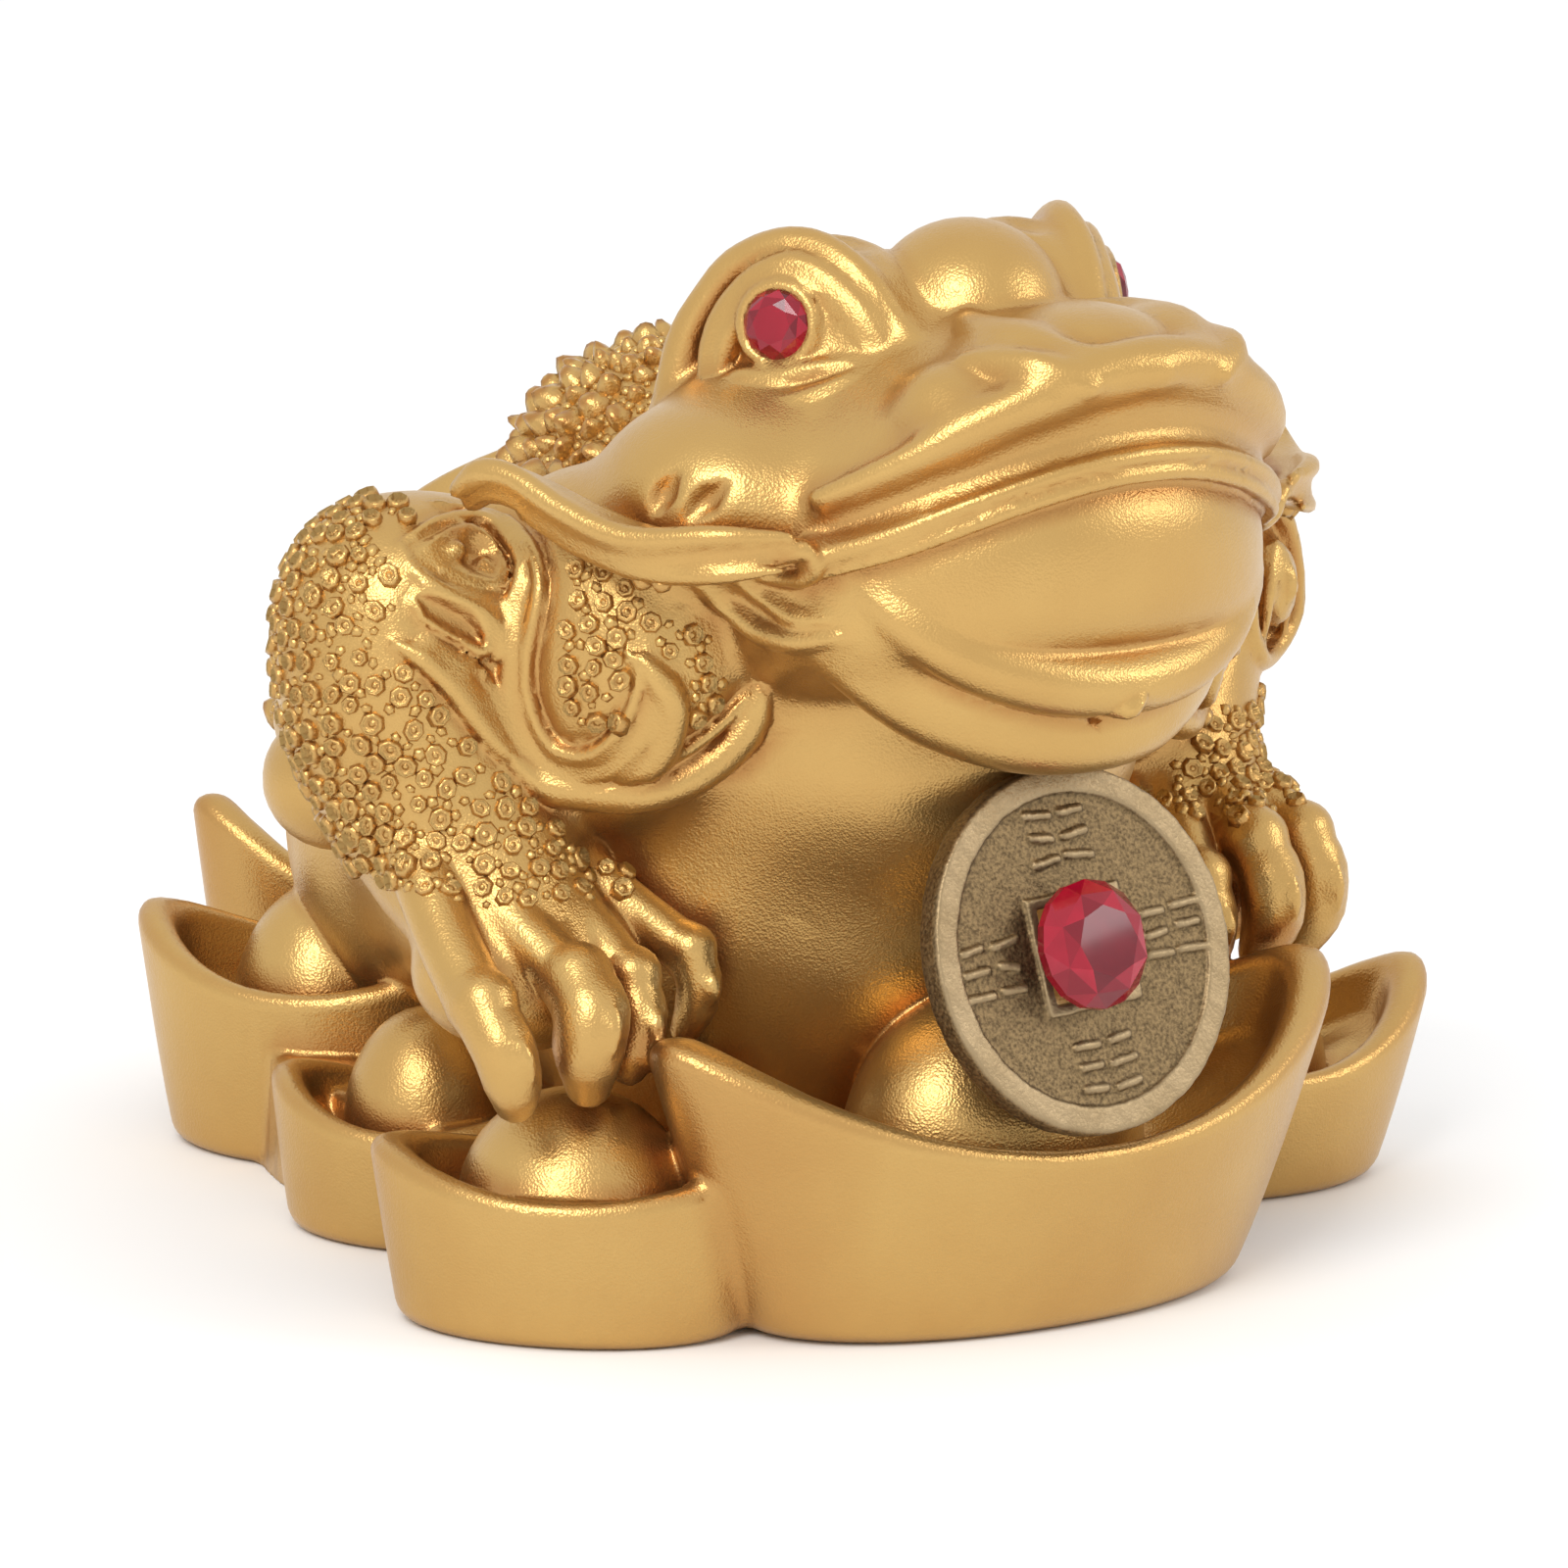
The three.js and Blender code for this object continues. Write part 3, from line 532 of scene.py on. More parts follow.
# shoulders: a scroll and a leaf in front of each, a looped band round a patch of warts, a crescent below it
carving = {
    # raised edges: path on the right shoulder, radius
    "outerScroll": ([[-35.5, -1.5, 62.1], [-32.4, -2.7, 61.4], [-31.2, -5.1, 60.8], [-31.9, -8.9, 59.5],
                     [-32.6, -11.0, 57.5], [-33.1, -11.5, 55.4], [-33.6, -11.3, 53.0],
                     [-33.8, -11.1, 50.5], [-33.5, -11.3, 48.1], [-32.8, -11.9, 45.9],
                     [-31.9, -13.0, 44.4], [-30.8, -15.2, 44.4], [-30.0, -17.4, 46.0],
                     [-29.4, -18.8, 48.6], [-29.1, -19.2, 51.1], [-29.8, -18.5, 52.9]], 0.62),
    "bandScroll": ([[-33.2, -9.4, 56.7], [-34.1, -9.7, 54.4], [-34.4, -10.0, 52.0], [-34.7, -10.0, 49.2],
                    [-34.1, -10.2, 46.7], [-33.0, -10.7, 44.3], [-31.7, -12.2, 42.9],
                    [-30.4, -14.3, 42.6], [-29.2, -16.6, 43.4], [-28.1, -18.8, 45.9],
                    [-27.6, -19.9, 48.6], [-27.7, -20.0, 50.5], [-28.9, -19.3, 52.2]], 0.7),
    "eyeOuter": ([[-40.0, -4.0, 60.1], [-36.9, -3.8, 61.1], [-33.0, -3.5, 61.1], [-32.2, -5.5, 60.3],
                  [-32.6, -8.5, 58.7], [-33.4, -9.3, 56.8], [-34.4, -9.1, 55.3]], 0.65),
    "eyeInner": ([[-39.3, -5.2, 59.5], [-37.2, -4.9, 60.2], [-34.8, -4.5, 60.3], [-33.7, -5.4, 59.8],
                  [-33.6, -7.2, 58.6], [-33.9, -8.2, 57.6], [-34.6, -8.4, 56.9], [-36.4, -7.6, 57.2],
                  [-38.6, -6.6, 58.1]], 0.5),
    "leafOuter": ([[-40.6, -4.1, 59.7], [-40.5, -6.0, 57.8], [-38.8, -7.5, 56.5], [-36.5, -8.5, 55.2],
                   [-35.2, -9.2, 53.9], [-35.0, -9.7, 52.4], [-35.6, -9.5, 51.3]], 0.65),
    "leafRim": ([[-41.2, -6.5, 56.2], [-40.6, -7.4, 54.6], [-38.2, -8.5, 53.2], [-36.6, -9.1, 51.9],
                 [-35.9, -9.2, 52.5], [-36.1, -8.9, 53.7], [-37.9, -8.1, 55.2], [-39.9, -7.0, 56.5],
                 [-41.2, -6.5, 56.2]], 0.5),
    "ribbonLeft": ([[-42.6, -6.5, 52.7], [-40.9, -7.9, 51.5], [-39.1, -8.9, 49.5], [-37.0, -9.5, 46.5],
                    [-35.3, -9.9, 44.3], [-33.5, -10.2, 43.0]], 0.9),
    "ribbonRight": ([[-38.1, -8.8, 51.7], [-36.6, -9.3, 50.1], [-35.4, -9.6, 48.0], [-34.2, -10.0, 45.5],
                     [-33.0, -10.6, 43.6]], 0.65),
    "leafBand": ([[-28.9, -19.3, 52.3], [-27.3, -20.2, 50.1], [-26.6, -20.2, 48.0], [-26.6, -19.4, 45.6],
                  [-27.0, -18.0, 43.9], [-28.3, -16.4, 43.0]], 1.3),
    "crescent": ([[-34.0, -10.4, 43.0], [-32.0, -11.4, 41.6], [-29.8, -13.9, 41.0], [-26.9, -16.9, 40.9],
                  [-23.7, -18.6, 42.0], [-20.9, -19.9, 44.2], [-19.4, -20.8, 46.8], [-19.2, -21.4, 49.0]],
                 1.6),
    "crescentTop": ([[-32.1, -11.0, 43.4], [-30.3, -13.9, 43.2], [-27.7, -17.2, 43.6],
                     [-25.4, -18.9, 44.7], [-22.4, -19.9, 46.5], [-20.3, -20.3, 48.4],
                     [-19.5, -21.0, 49.6]], 0.55),
}
bands = {
    # broad bands that fill the room between two edges
    "scroll": ([[-32.2, -8.6, 59.2], [-33.3, -10.4, 56.2], [-33.9, -10.6, 53.0], [-34.2, -10.5, 49.8],
                [-33.7, -10.8, 47.0], [-32.6, -11.6, 44.6], [-31.1, -13.8, 43.6], [-29.7, -16.9, 44.6],
                [-28.6, -19.0, 47.2], [-28.3, -19.6, 50.4]], 1.15),
    "ribbon": ([[-40.4, -7.7, 52.4], [-38.5, -8.9, 50.2], [-36.8, -9.6, 47.6], [-35.2, -9.9, 45.2],
                [-33.3, -10.4, 43.0]], 1.35),
    "leaf": ([[-38.0, -8.0, 57.0], [-36.0, -8.6, 55.6], [-34.9, -9.2, 53.6], [-34.8, -9.6, 51.6]], 1.0),
}
carvingCuts = {
    "depth": 0.55,  # the ground beside the raised lines is sunk by this much
    "reach": 2.2,  # radius of the roll that sinks it
    "beside": ("outerScroll", "eyeOuter", "leafRim", "ribbonLeft", "crescentTop", "crescent"),
    "bandSunk": 0.75, "edgeSunk": 0.05,  # the second is a share of the edge's radius
    "hole": [[-35.2, -6.6, 58.8]], "holeRadii": (1.9, 1.9, 1.6),
    "beads": ([-36.2, -6.2, 59.2], [-34.6, -6.6, 58.2]), "beadRadii": (0.8, 0.8, 0.8),
    "leaf": [[-39.8, -7.6, 55.2], [-37.9, -8.4, 54.1], [-36.9, -8.9, 53.0]],
    "slit": [[-37.7, -9.0, 51.2], [-36.7, -9.3, 49.8], [-35.7, -9.7, 48.2]],
}
for side in (-1, 1):
    there = placer(side)
    # every path is laid on the shoulder before any of it is cut
    edges = {name: (laid(there(points)), radius) for name, (points, radius) in carving.items()}
    fills = [(laid(there(points)), radius) for points, radius in bands.values()]
    hole = laid(there(carvingCuts["hole"]), 0.7)[0]
    leaf = laid(there(carvingCuts["leaf"]), 0.55)
    slit = laid(there(carvingCuts["slit"]), 0.9)
    for name in carvingCuts["beside"]:
        path = edges[name][0]
        reach = carvingCuts["reach"]
        above = path + slopeAt(path) * (reach - carvingCuts["depth"])
        roll("toad", above, (1.6, reach, reach, reach, 1.6), 0.8, cut=True, count=2 * len(path))
    for path, radius in fills:
        sunk = path - slopeAt(path) * carvingCuts["bandSunk"]
        roll("toad", sunk, (radius * 0.7, radius, radius, radius, radius * 0.7), 0.5, count=2 * len(path))
    for path, radius in edges.values():
        sunk = path - slopeAt(path) * radius * carvingCuts["edgeSunk"]
        radii = (radius * 0.5, radius, radius, radius, radius, radius * 0.5)
        roll("toad", sunk, radii, 0.3, count=2 * len(path))
    ball("toad", hole, carvingCuts["holeRadii"], 0.4, cut=True)
    for bead in carvingCuts["beads"]:
        ball("toad", laid(there([bead]))[0], carvingCuts["beadRadii"], 0.2)
    roll("toad", leaf, (0.9, 1.15, 0.6), 0.4, cut=True, count=8)
    roll("toad", slit, (0.3, 0.9, 0.3), 0.3, cut=True, count=8)

# cap of the left shoulder: an oval ring round three veins
capForms = {"cap": ((41, 0, 49), (9, 9, 10), 1.5)}
capRing = {
    "at": (43.6, -7.4, 49), "wide": 4.0, "high": 6.2, "radius": 0.85, "lean": 0.3,
    "veins": (-0.35, 0.05, 0.45),  # how far each vein lies across the ring
}


def capOval(share):
    # places on an oval on the cap, at a share of the ring's size
    angle = np.linspace(0, 2 * math.pi, 15)
    across, upward = capRing["wide"] * share * np.cos(angle), capRing["high"] * share * np.sin(angle)
    x, y, z = capRing["at"]
    sideways = x + across - upward * capRing["lean"] * 0.5
    return laid(np.stack([sideways, np.full(15, y) + across * 0.5, z + upward], 1))


pressBalls(capForms)
roll("toad", capOval(0.8), (1.5, 1.5), 0.8, cut=True, count=30)
roll("toad", capOval(1.0), (capRing["radius"], capRing["radius"]), 0.3, count=40)
for share in capRing["veins"]:
    x, y, z = capRing["at"]
    vein = [[x + share * 5, y + share * 3, z - 4.2], [x + share * 4.4, y + share * 2.6, z],
            [x + share * 2, y + share, z + 4]]
    roll("toad", laid(np.array(vein)), (0.3, 0.75, 0.3), 0.3, count=10)

# rear flanks: two low lobes on each side, between the ingots and the back
rearPairs = {
    "lower": ((25.4, 25, 34.6), (5.6, 6, 5.6), 0.6),
    "upper": ((21.6, 29, 38.4), (5.6, 6, 5.6), 0.6),
}
for side in (-1, 1):
    pressBalls(rearPairs, side)

# round plate on the back: a disc with a rim, a boss and eight petals
plate = {
    "at": (0, 34, 52), "radius": 12.5, "tilt": 0.6, "rim": 1.1, "petals": 8,
    "halfThick": 1.3, "edge": 0.8,
    "petalFrom": 6.2, "petalWave": 1.6, "petalWide": 1.2, "petalRadius": 0.55,
    "boss": 2.6,
    "skirt": (4, 0.15),  # how far down its side widens, and by what share of the way
    "petalSteep": 0.8, "bossSteep": 1.6,
    "box": ((-14, 20, 40), (14, 48, 64)),
}


def plateForm(points):
    # in the plate's own frame, up stands off the back, and reach and angle run round its middle
    offset = points - plate["at"]
    up = offset[:, 1] * math.sin(plate["tilt"]) + offset[:, 2] * math.cos(plate["tilt"])
    down = offset[:, 1] * math.cos(plate["tilt"]) - offset[:, 2] * math.sin(plate["tilt"])
    reach = np.hypot(offset[:, 0], down)
    over = up - plate["halfThick"]
    depth, share = plate["skirt"]
    side = reach - plate["radius"] - np.clip(-up, 0, depth) * share
    disc = rounded(side, np.abs(up) - plate["halfThick"], plate["edge"])
    ring = np.hypot(reach - plate["radius"] + plate["rim"], over) - plate["rim"]
    angle = np.arctan2(down, offset[:, 0])
    wave = plate["petalFrom"] + plate["petalWave"] * np.abs(np.cos(angle * plate["petals"] / 2))
    steep, wide = plate["petalSteep"], plate["petalWide"]
    aside = np.maximum(reach - wave, 0) * steep + np.maximum(wave - wide - reach, 0) * steep
    petal = np.hypot(aside, over) - plate["petalRadius"]
    boss = np.hypot(reach, np.maximum(over, 0) * plate["bossSteep"]) - plate["boss"]
    return np.minimum(np.minimum(disc, ring), np.minimum(petal, boss))


press("toad", plateForm, *plate["box"], 0.5)
print("large forms pressed")

# warts: rings with a pit on the forelegs and patches, blunt cones on the back, and beads between them
ringKind, coneKind, beadKind = 1, 2, 3
warts = {
    "seed": 11,
    "throws": 240000, "throwsBox": ([-47, -24, 30], [52, 50, 72]),
    "ringSpacing": 1.6, "ringSize": (0.78, 1.0),
    "coneSpacing": 1.9, "coneSize": (0.95, 1.5),
    "lowCones": (54, 1.6),  # below this height the cones' spacing is this many times as wide
    "beadSpacing": 0.8, "beadSize": (0.4, 0.6), "beadRoom": 0.98,  # beadRoom is from a ring's middle
    "skinReach": 2.0,  # throws farther from the skin are dropped
    "offSkin": 0.1,  # throws that didn't come this close to the skin are dropped too
    "clearAt": (1.2, 1.02),  # at the first distance out, the field has to be over the second
    "leanShare": 1.2, "tiltShare": 0.5,  # how much of the unevenness goes to the lean and to the tilt
    "topRise": 0.12,  # of the pole over the outline's last ring
}
wartForms = {
    # outline from the foot to the top as distance from the axis and height, in sizes; sides; unevenness
    ringKind: ([(1.14, -0.5), (0.92, 0.36), (0.74, 0.62), (0.5, 0.0), (0.24, 0.18)], 7, 0.14),
    coneKind: ([(1.15, -0.5), (0.92, 0.1), (0.66, 0.6), (0.36, 0.95)], 6, 0.3),
    beadKind: ([(1.25, -0.6), (0.7, 0.5)], 5, 0.25),
}
# places on the right shoulder seen from the front, in x and z: the carved part and the warty patches in it
carved = [(-41.5, 61), (-42, 57), (-43.2, 53), (-41.2, 50.4), (-39.3, 48.4), (-37, 45.4), (-35, 43.2),
          (-33.4, 41.4), (-30, 39), (-26, 38.4), (-20, 40.5), (-15, 49), (-20, 59), (-30, 64), (-36, 64)]
patches = [
    [(-31.3, 59.5), (-32.3, 55), (-32.8, 52), (-32.7, 49), (-31.9, 46.6), (-31.0, 45.4), (-30.2, 47),
     (-29.9, 50), (-30.4, 52.6), (-29.6, 53.9), (-27.2, 52.6), (-25, 51.4), (-22.0, 50.9), (-21.4, 52.4),
     (-23.4, 55), (-25.6, 58.4), (-28, 60), (-30, 60.5)],
    [(-25.4, 50.4), (-25.2, 47.4), (-25.6, 45.8), (-23.2, 46.8), (-21.2, 49.2), (-21.8, 50.4)],
]
# where warts grow, in x of the right side, y and z
ground = {
    "limbReach": 10.6,  # from the middle of the foreleg
    "carvedY": -2.5, "patchY": -9,  # the carved part and its patches lie in front of these
    "capX": 41, "capHalf": 10, "capFoot": 40.5,  # the left shoulder's smooth cap
    "capTop": (54.6, 58.6), "capTopY": -9,  # the cap carries warts again between these heights
    "rightCap": (-38, 59.5),  # inside and above these the right shoulder is smooth
    "foreleg": (-24.2, 63.5),  # outside and below these
    "wrist": (33.2, -38, 0.2),  # height of its lower edge, which climbs outside of x by a share
    "plateY": 34, "plateSquash": 0.83, "plateReach": 15, "plateFoot": 40,
    "back": (-26, 2.5, 38), "upperBack": 50, "rear": 20,
}
randoms = np.random.default_rng(warts["seed"])


def within(outline, x, z):
    # whether each place is inside the outline: an odd number of its sides lies to the right
    odd = np.zeros(len(x), bool)
    for (x0, z0), (x1, z1) in zip(outline, outline[1:] + outline[:1]):
        crosses = (z0 > z) != (z1 > z)
        odd ^= crosses & (x < (x1 - x0) * (z - z0) / (z1 - z0 + 1e-9) + x0)
    return odd


def wartKinds(points):
    # the kind that each place carries, 0 where the skin is smooth
    x, y, z = -np.abs(points[:, 0]), points[:, 1], points[:, 2]
    limb = spline(foreleg["path"], 24)
    folded = np.stack([x, y, z], 1)
    onLimb = np.sqrt(((folded[:, None] - limb[None]) ** 2).sum(2)).min(1) < ground["limbReach"]
    onCarving = within(carved, x, z) & (y < ground["carvedY"])
    inPatch = (within(patches[0], x, z) | within(patches[1], x, z)) & (y < ground["patchY"])
    left = points[:, 0] > 0
    onCap = left & (np.abs(points[:, 0] - ground["capX"]) < ground["capHalf"]) & (z > ground["capFoot"])
    low, high = ground["capTop"]
    top = onCap & (z > low) & (z < high) & (y > ground["capTopY"])
    inner, above = ground["rightCap"]
    smooth = (onCap & ~top) | ((points[:, 0] < 0) & (x > inner) & (z > above))
    inner, above = ground["foreleg"]
    wrist, bend, climb = ground["wrist"]
    onForeleg = onLimb & (x < inner) & (z > wrist + np.maximum(bend - x, 0) * climb) & (z < above)
    onPlate = np.hypot(x, (y - ground["plateY"]) / ground["plateSquash"]) < ground["plateReach"]
    outer, front, foot = ground["back"]
    onBack = (y > front) & (z > foot) & (x > outer) & ~onLimb & ~(onPlate & (z > ground["plateFoot"]))
    onBack &= (z > ground["upperBack"]) | (y > ground["rear"])
    rings = inPatch | (onForeleg & ~onCarving & ~smooth) | top
    return np.where(rings, ringKind, np.where(onBack, coneKind, 0))


def scatter():
    # throws onto the skin, each kept where it has room; returns places, directions out, sizes and kinds
    thrown = randoms.uniform(*warts["throwsBox"], (warts["throws"], 3))
    thrown = thrown[wartKinds(thrown) > 0]
    print("warts thrown:", len(thrown))
    thrown = laid(thrown[np.abs(fieldAt(thrown)) < warts["skinReach"]])
    kinds = wartKinds(thrown)
    out = slopeAt(thrown)
    reach, least = warts["clearAt"]
    clear = (np.abs(fieldAt(thrown)) < warts["offSkin"]) & (fieldAt(thrown + out * reach) > least)
    clear &= kinds > 0
    thrown, kinds, out = thrown[clear], kinds[clear], out[clear]
    lowest, wider = warts["lowCones"]
    kept = []
    for index, place in enumerate(thrown):
        gap = warts["coneSpacing"] * (1 if place[2] > lowest else wider)
        if kinds[index] == ringKind:
            gap = warts["ringSpacing"]
        if not kept or np.min(((thrown[kept] - place) ** 2).sum(1)) > gap ** 2:
            kept.append(index)
    # beads fill the room that is left between the rings and cones
    first = len(kept)
    for index, place in enumerate(thrown):
        away = ((thrown[kept] - place) ** 2).sum(1)
        room = away[:first].min() > warts["beadRoom"] ** 2
        if room and (len(kept) == first or away[first:].min() > warts["beadSpacing"] ** 2):
            kept.append(index)
    kinds = kinds[kept]
    kinds[first:] = beadKind
    spans = np.array([warts["ringSize"], warts["coneSize"], warts["beadSize"]])[kinds - 1]
    sizes = spans[:, 0] + (spans[:, 1] - spans[:, 0]) * randoms.random(len(kept))
    return thrown[kept], out[kept], sizes, kinds


def wartShells(outline, sides, wobble, at, out, sizes):
    # closed shells, each an outline turned about its direction out, uneven in width, height and lean:
    # place = at + size * (reach cos(a) side + reach sin(a) over + height out)
    # returns vertices, triangles and the painted shade at each vertex, by how deep it lies in its wart
    count, rings = len(at), len(outline)
    out = out + randoms.normal(0, wobble * warts["tiltShare"], (count, 3))
    out = out / np.linalg.norm(out, axis=1, keepdims=True)
    side = np.cross(out, randoms.normal(0, 1, (count, 3)))
    side = side / np.linalg.norm(side, axis=1, keepdims=True)
    over = np.cross(out, side)
    angle = np.arange(sides) * 2 * math.pi / sides
    reach, height = np.array(outline).T
    wide = 1 + randoms.uniform(-wobble, wobble, (count, 2))
    lean = randoms.uniform(0, wobble * warts["leanShare"], count)
    tilted = 1 + lean[:, None, None] * np.cos(angle) * (height > 0)[None, :, None]
    rise = height[None, :, None] * tilted
    across = reach[None, :, None] * np.cos(angle) * wide[:, :1, None]
    along = reach[None, :, None] * np.sin(angle) * wide[:, 1:, None]
    offset = (across[..., None] * side[:, None, None] + along[..., None] * over[:, None, None]
              + rise[..., None] * out[:, None, None])
    shell = (at[:, None, None] + sizes[:, None, None, None] * offset).reshape(count, -1, 3)
    poles = np.array([height[0], height[-1] + warts["topRise"]])
    ends = at[:, None] + sizes[:, None, None] * out[:, None] * poles[None, :, None]
    vertices = np.concatenate([shell, ends], 1)
    ring, step = np.meshgrid(np.arange(rings - 1), np.arange(sides), indexing="ij")
    a, b = ring * sides + step, ring * sides + (step + 1) % sides
    walls = np.stack([np.stack([a, b, b + sides], -1), np.stack([a, b + sides, a + sides], -1)])
    turn = np.arange(sides)
    after = (turn + 1) % sides
    last = (rings - 1) * sides
    foot = np.stack([after, turn, np.full(sides, rings * sides)], 1)
    top = np.stack([last + turn, last + after, np.full(sides, rings * sides + 1)], 1)
    faces = np.concatenate([walls.reshape(-1, 3), foot, top])
    faces = (faces[None] + np.arange(count)[:, None, None] * vertices.shape[1]).reshape(-1, 3)
    # painted shade at each vertex, by how deep it lies in its wart: 1 in the pit, 0 on the ring and at both
    # poles
    pitShade = np.where((reach < 0.5) & (reach > 0.3), 1.0, np.where(height < 0.4, 0.35, 0.0))
    pitShade = np.concatenate([np.repeat(pitShade, sides), [0.0, 0.0]])
    return vertices.reshape(-1, 3), faces, np.tile(pitShade, count)


casting = {
    "voxel": 0.32,  # pitch of the field, in millimetres
    "low": [-50.0, -49.0, -1.0], "high": [64.0, 72.0, 88.0],  # the room that the field fills
    "offset": 0.37,  # in pitches, so that no sample falls on a flat face
    "block": 8,  # samples along each side of a block
    "blockReach": 0.87,  # half the diagonal of a block, in its sides
    "skinReach": 1.6,  # blocks this much farther off the skin are still filled
    "blocksAtOnce": 1500,
    "mostFaces": 88000,  # of the skin without its warts
    "hollowReach": 1.6,  # how far off the skin its hollows are felt, in millimetres
}


def blockField(lows, span, step):
    # the field at every sample of each block, from the forms whose boxes touch it
    count = casting["block"]
    ticks = (np.arange(count) * step).astype(np.float32)
    grid = np.stack(np.meshgrid(ticks, ticks, ticks, indexing="ij"), -1).reshape(-1, 3)
    highs = lows + span
    whole = np.full((len(lows), count ** 3), clay["farAway"], np.float32)
    for pile in piles.values():
        field = np.full_like(whole, clay["farAway"])
        for shape, low, high, soft, cut in pile:
            near = np.nonzero(((highs > low) & (lows < high)).all(1))[0]
            for part in np.array_split(near, max(1, len(near) // casting["blocksAtOnce"])):
                if len(part):
                    points = (lows[part][:, None, :] + grid[None]).reshape(-1, 3)
                    away = shape(points).astype(np.float32).reshape(len(part), -1)
                    field[part] = melt(field[part], away, soft, cut)
        whole = melt(whole, field, clay["pileBlend"])
    return np.maximum(whole, -(lows[:, None, 2] + grid[None, :, 2]))  # flat underside


def skinOf(field, low, step):
    # surface nets: one vertex in each cell the skin crosses, at the mean of its edge crossings,
    # and one quad round each grid edge it crosses
    inside = field < 0
    corners = np.zeros(tuple(n - 1 for n in field.shape), np.int8)
    wide, deep, high = corners.shape
    for dx, dy, dz in np.ndindex(2, 2, 2):
        corners += inside[dx:dx + wide, dy:dy + deep, dz:dz + high]
    cells = np.flatnonzero((corners > 0) & (corners < 8))
    at = np.stack(np.unravel_index(cells, corners.shape), 1)
    total = np.zeros((len(cells), 3))
    crossings = np.zeros(len(cells))
    for axis in range(3):
        others = [a for a in range(3) if a != axis]
        for first in (0, 1):
            for second in (0, 1):
                start = np.zeros(3, int)
                start[others[0]], start[others[1]] = first, second
                end = start.copy()
                end[axis] = 1
                a = field[tuple((at + start).T)]
                b = field[tuple((at + end).T)]
                crossed = (a < 0) != (b < 0)
                share = np.where(crossed, a / np.where(crossed, a - b, 1), 0)
                total += crossed[:, None] * (start + share[:, None] * (end - start))
                crossings += crossed
    vertices = (at + total / crossings[:, None]) * step + low
    quads = []
    for axis in range(3):
        ahead = np.diff(inside.view(np.int8), axis=axis)
        edges = np.stack(np.nonzero(ahead), 1)
        u, v = [a for a in range(3) if a != axis]
        keep = (edges[:, u] > 0) & (edges[:, v] > 0)
        keep &= (edges[:, u] < field.shape[u] - 1) & (edges[:, v] < field.shape[v] - 1)
        edges = edges[keep]
        outward = ahead[tuple(edges.T)] < 0
        ring = []
        for du, dv in ((0, 0), (1, 0), (1, 1), (0, 1)):
            cell = edges.copy()
            cell[:, u] -= du
            cell[:, v] -= dv
            ring.append(np.searchsorted(cells, np.ravel_multi_index(tuple(cell.T), corners.shape)))
        ring = np.stack(ring, 1)
        turned = outward if axis != 1 else ~outward
        quads.append(np.where(turned[:, None], ring, ring[:, ::-1]))
    return vertices, np.concatenate(quads)


def castSkin():
    # fills the blocks near the skin with the field, the others with a far distance, and reads the skin off
    step, count = casting["voxel"], casting["block"]
    span = step * count
    low = np.array(casting["low"]) + step * casting["offset"]
    size = np.ceil((np.array(casting["high"]) - low) / span).astype(int)
    index = np.stack(np.meshgrid(*[np.arange(n) for n in size], indexing="ij"), -1).reshape(-1, 3)
    rough = fieldAt(low + (index + 0.5) * span)
    near = np.abs(rough) < span * casting["blockReach"] + casting["skinReach"]
    print("blocks near the skin:", int(near.sum()), "of", len(near))
    dense = np.where(rough < 0, -clay["farAway"], clay["farAway"]).astype(np.float32)
    dense = np.broadcast_to(dense.reshape(*size, 1, 1, 1), (*size, count, count, count)).copy()
    values = blockField((low + index[near] * span).astype(np.float32), np.float32(span), step)
    dense[tuple(index[near].T)] = values.reshape(-1, count, count, count)
    dense = dense.transpose(0, 3, 1, 4, 2, 5).reshape(size * count)
    return skinOf(dense, low, step)


def meshOf(name, vertices, faces):
    # a mesh of quads or triangles from whole arrays, in metres
    made = bpy.data.meshes.new(name)
    sides = faces.shape[1]
    made.vertices.add(len(vertices))
    made.vertices.foreach_set("co", (vertices * mm).astype(np.float32).ravel())
    made.loops.add(faces.size)
    made.loops.foreach_set("vertex_index", faces.astype(np.int32).ravel())
    made.polygons.add(len(faces))
    made.polygons.foreach_set("loop_start", np.arange(0, faces.size, sides, dtype=np.int32))
    made.update(calc_edges=True)
    made.validate()
    made.polygons.foreach_set("use_smooth", np.ones(len(made.polygons), bool))
    return made


def addPiece(name, mesh, material):
    piece = bpy.data.objects.new(name, mesh)
    bpy.context.scene.collection.objects.link(piece)
    mesh.materials.append(material)
    return piece


def thinned(piece, mostFaces):
    # collapses edges where the skin is flattest until few enough triangles are left
    triangles = sum(len(p.vertices) - 2 for p in piece.data.polygons)
    if triangles <= mostFaces:
        return
    fewer = piece.modifiers.new("thin", "DECIMATE")
    fewer.ratio = mostFaces / triangles
    graph = bpy.context.evaluated_depsgraph_get()
    made = bpy.data.meshes.new_from_object(piece.evaluated_get(graph))
    piece.modifiers.remove(fewer)
    old, piece.data = piece.data, made
    bpy.data.meshes.remove(old)


def linear(code):
    # sRGB hex to linear colour with full alpha
    parts = [int(code[i:i + 2], 16) / 255 for i in (1, 3, 5)]
    return [c / 12.92 if c <= 0.04045 else ((c + 0.055) / 1.055) ** 2.4 for c in parts] + [1.0]


def addNode(tree, kind, links=None, **settings):
    # one node: settings are its properties or input values, links name the sockets that feed it
    node = tree.nodes.new(kind)
    for key, value in settings.items():
        if hasattr(node, key):
            setattr(node, key, value)
        else:
            node.inputs[key.replace("_", " ")].default_value = value
    for key, source in (links or {}).items():
        tree.links.new(source, node.inputs[key])
    return node


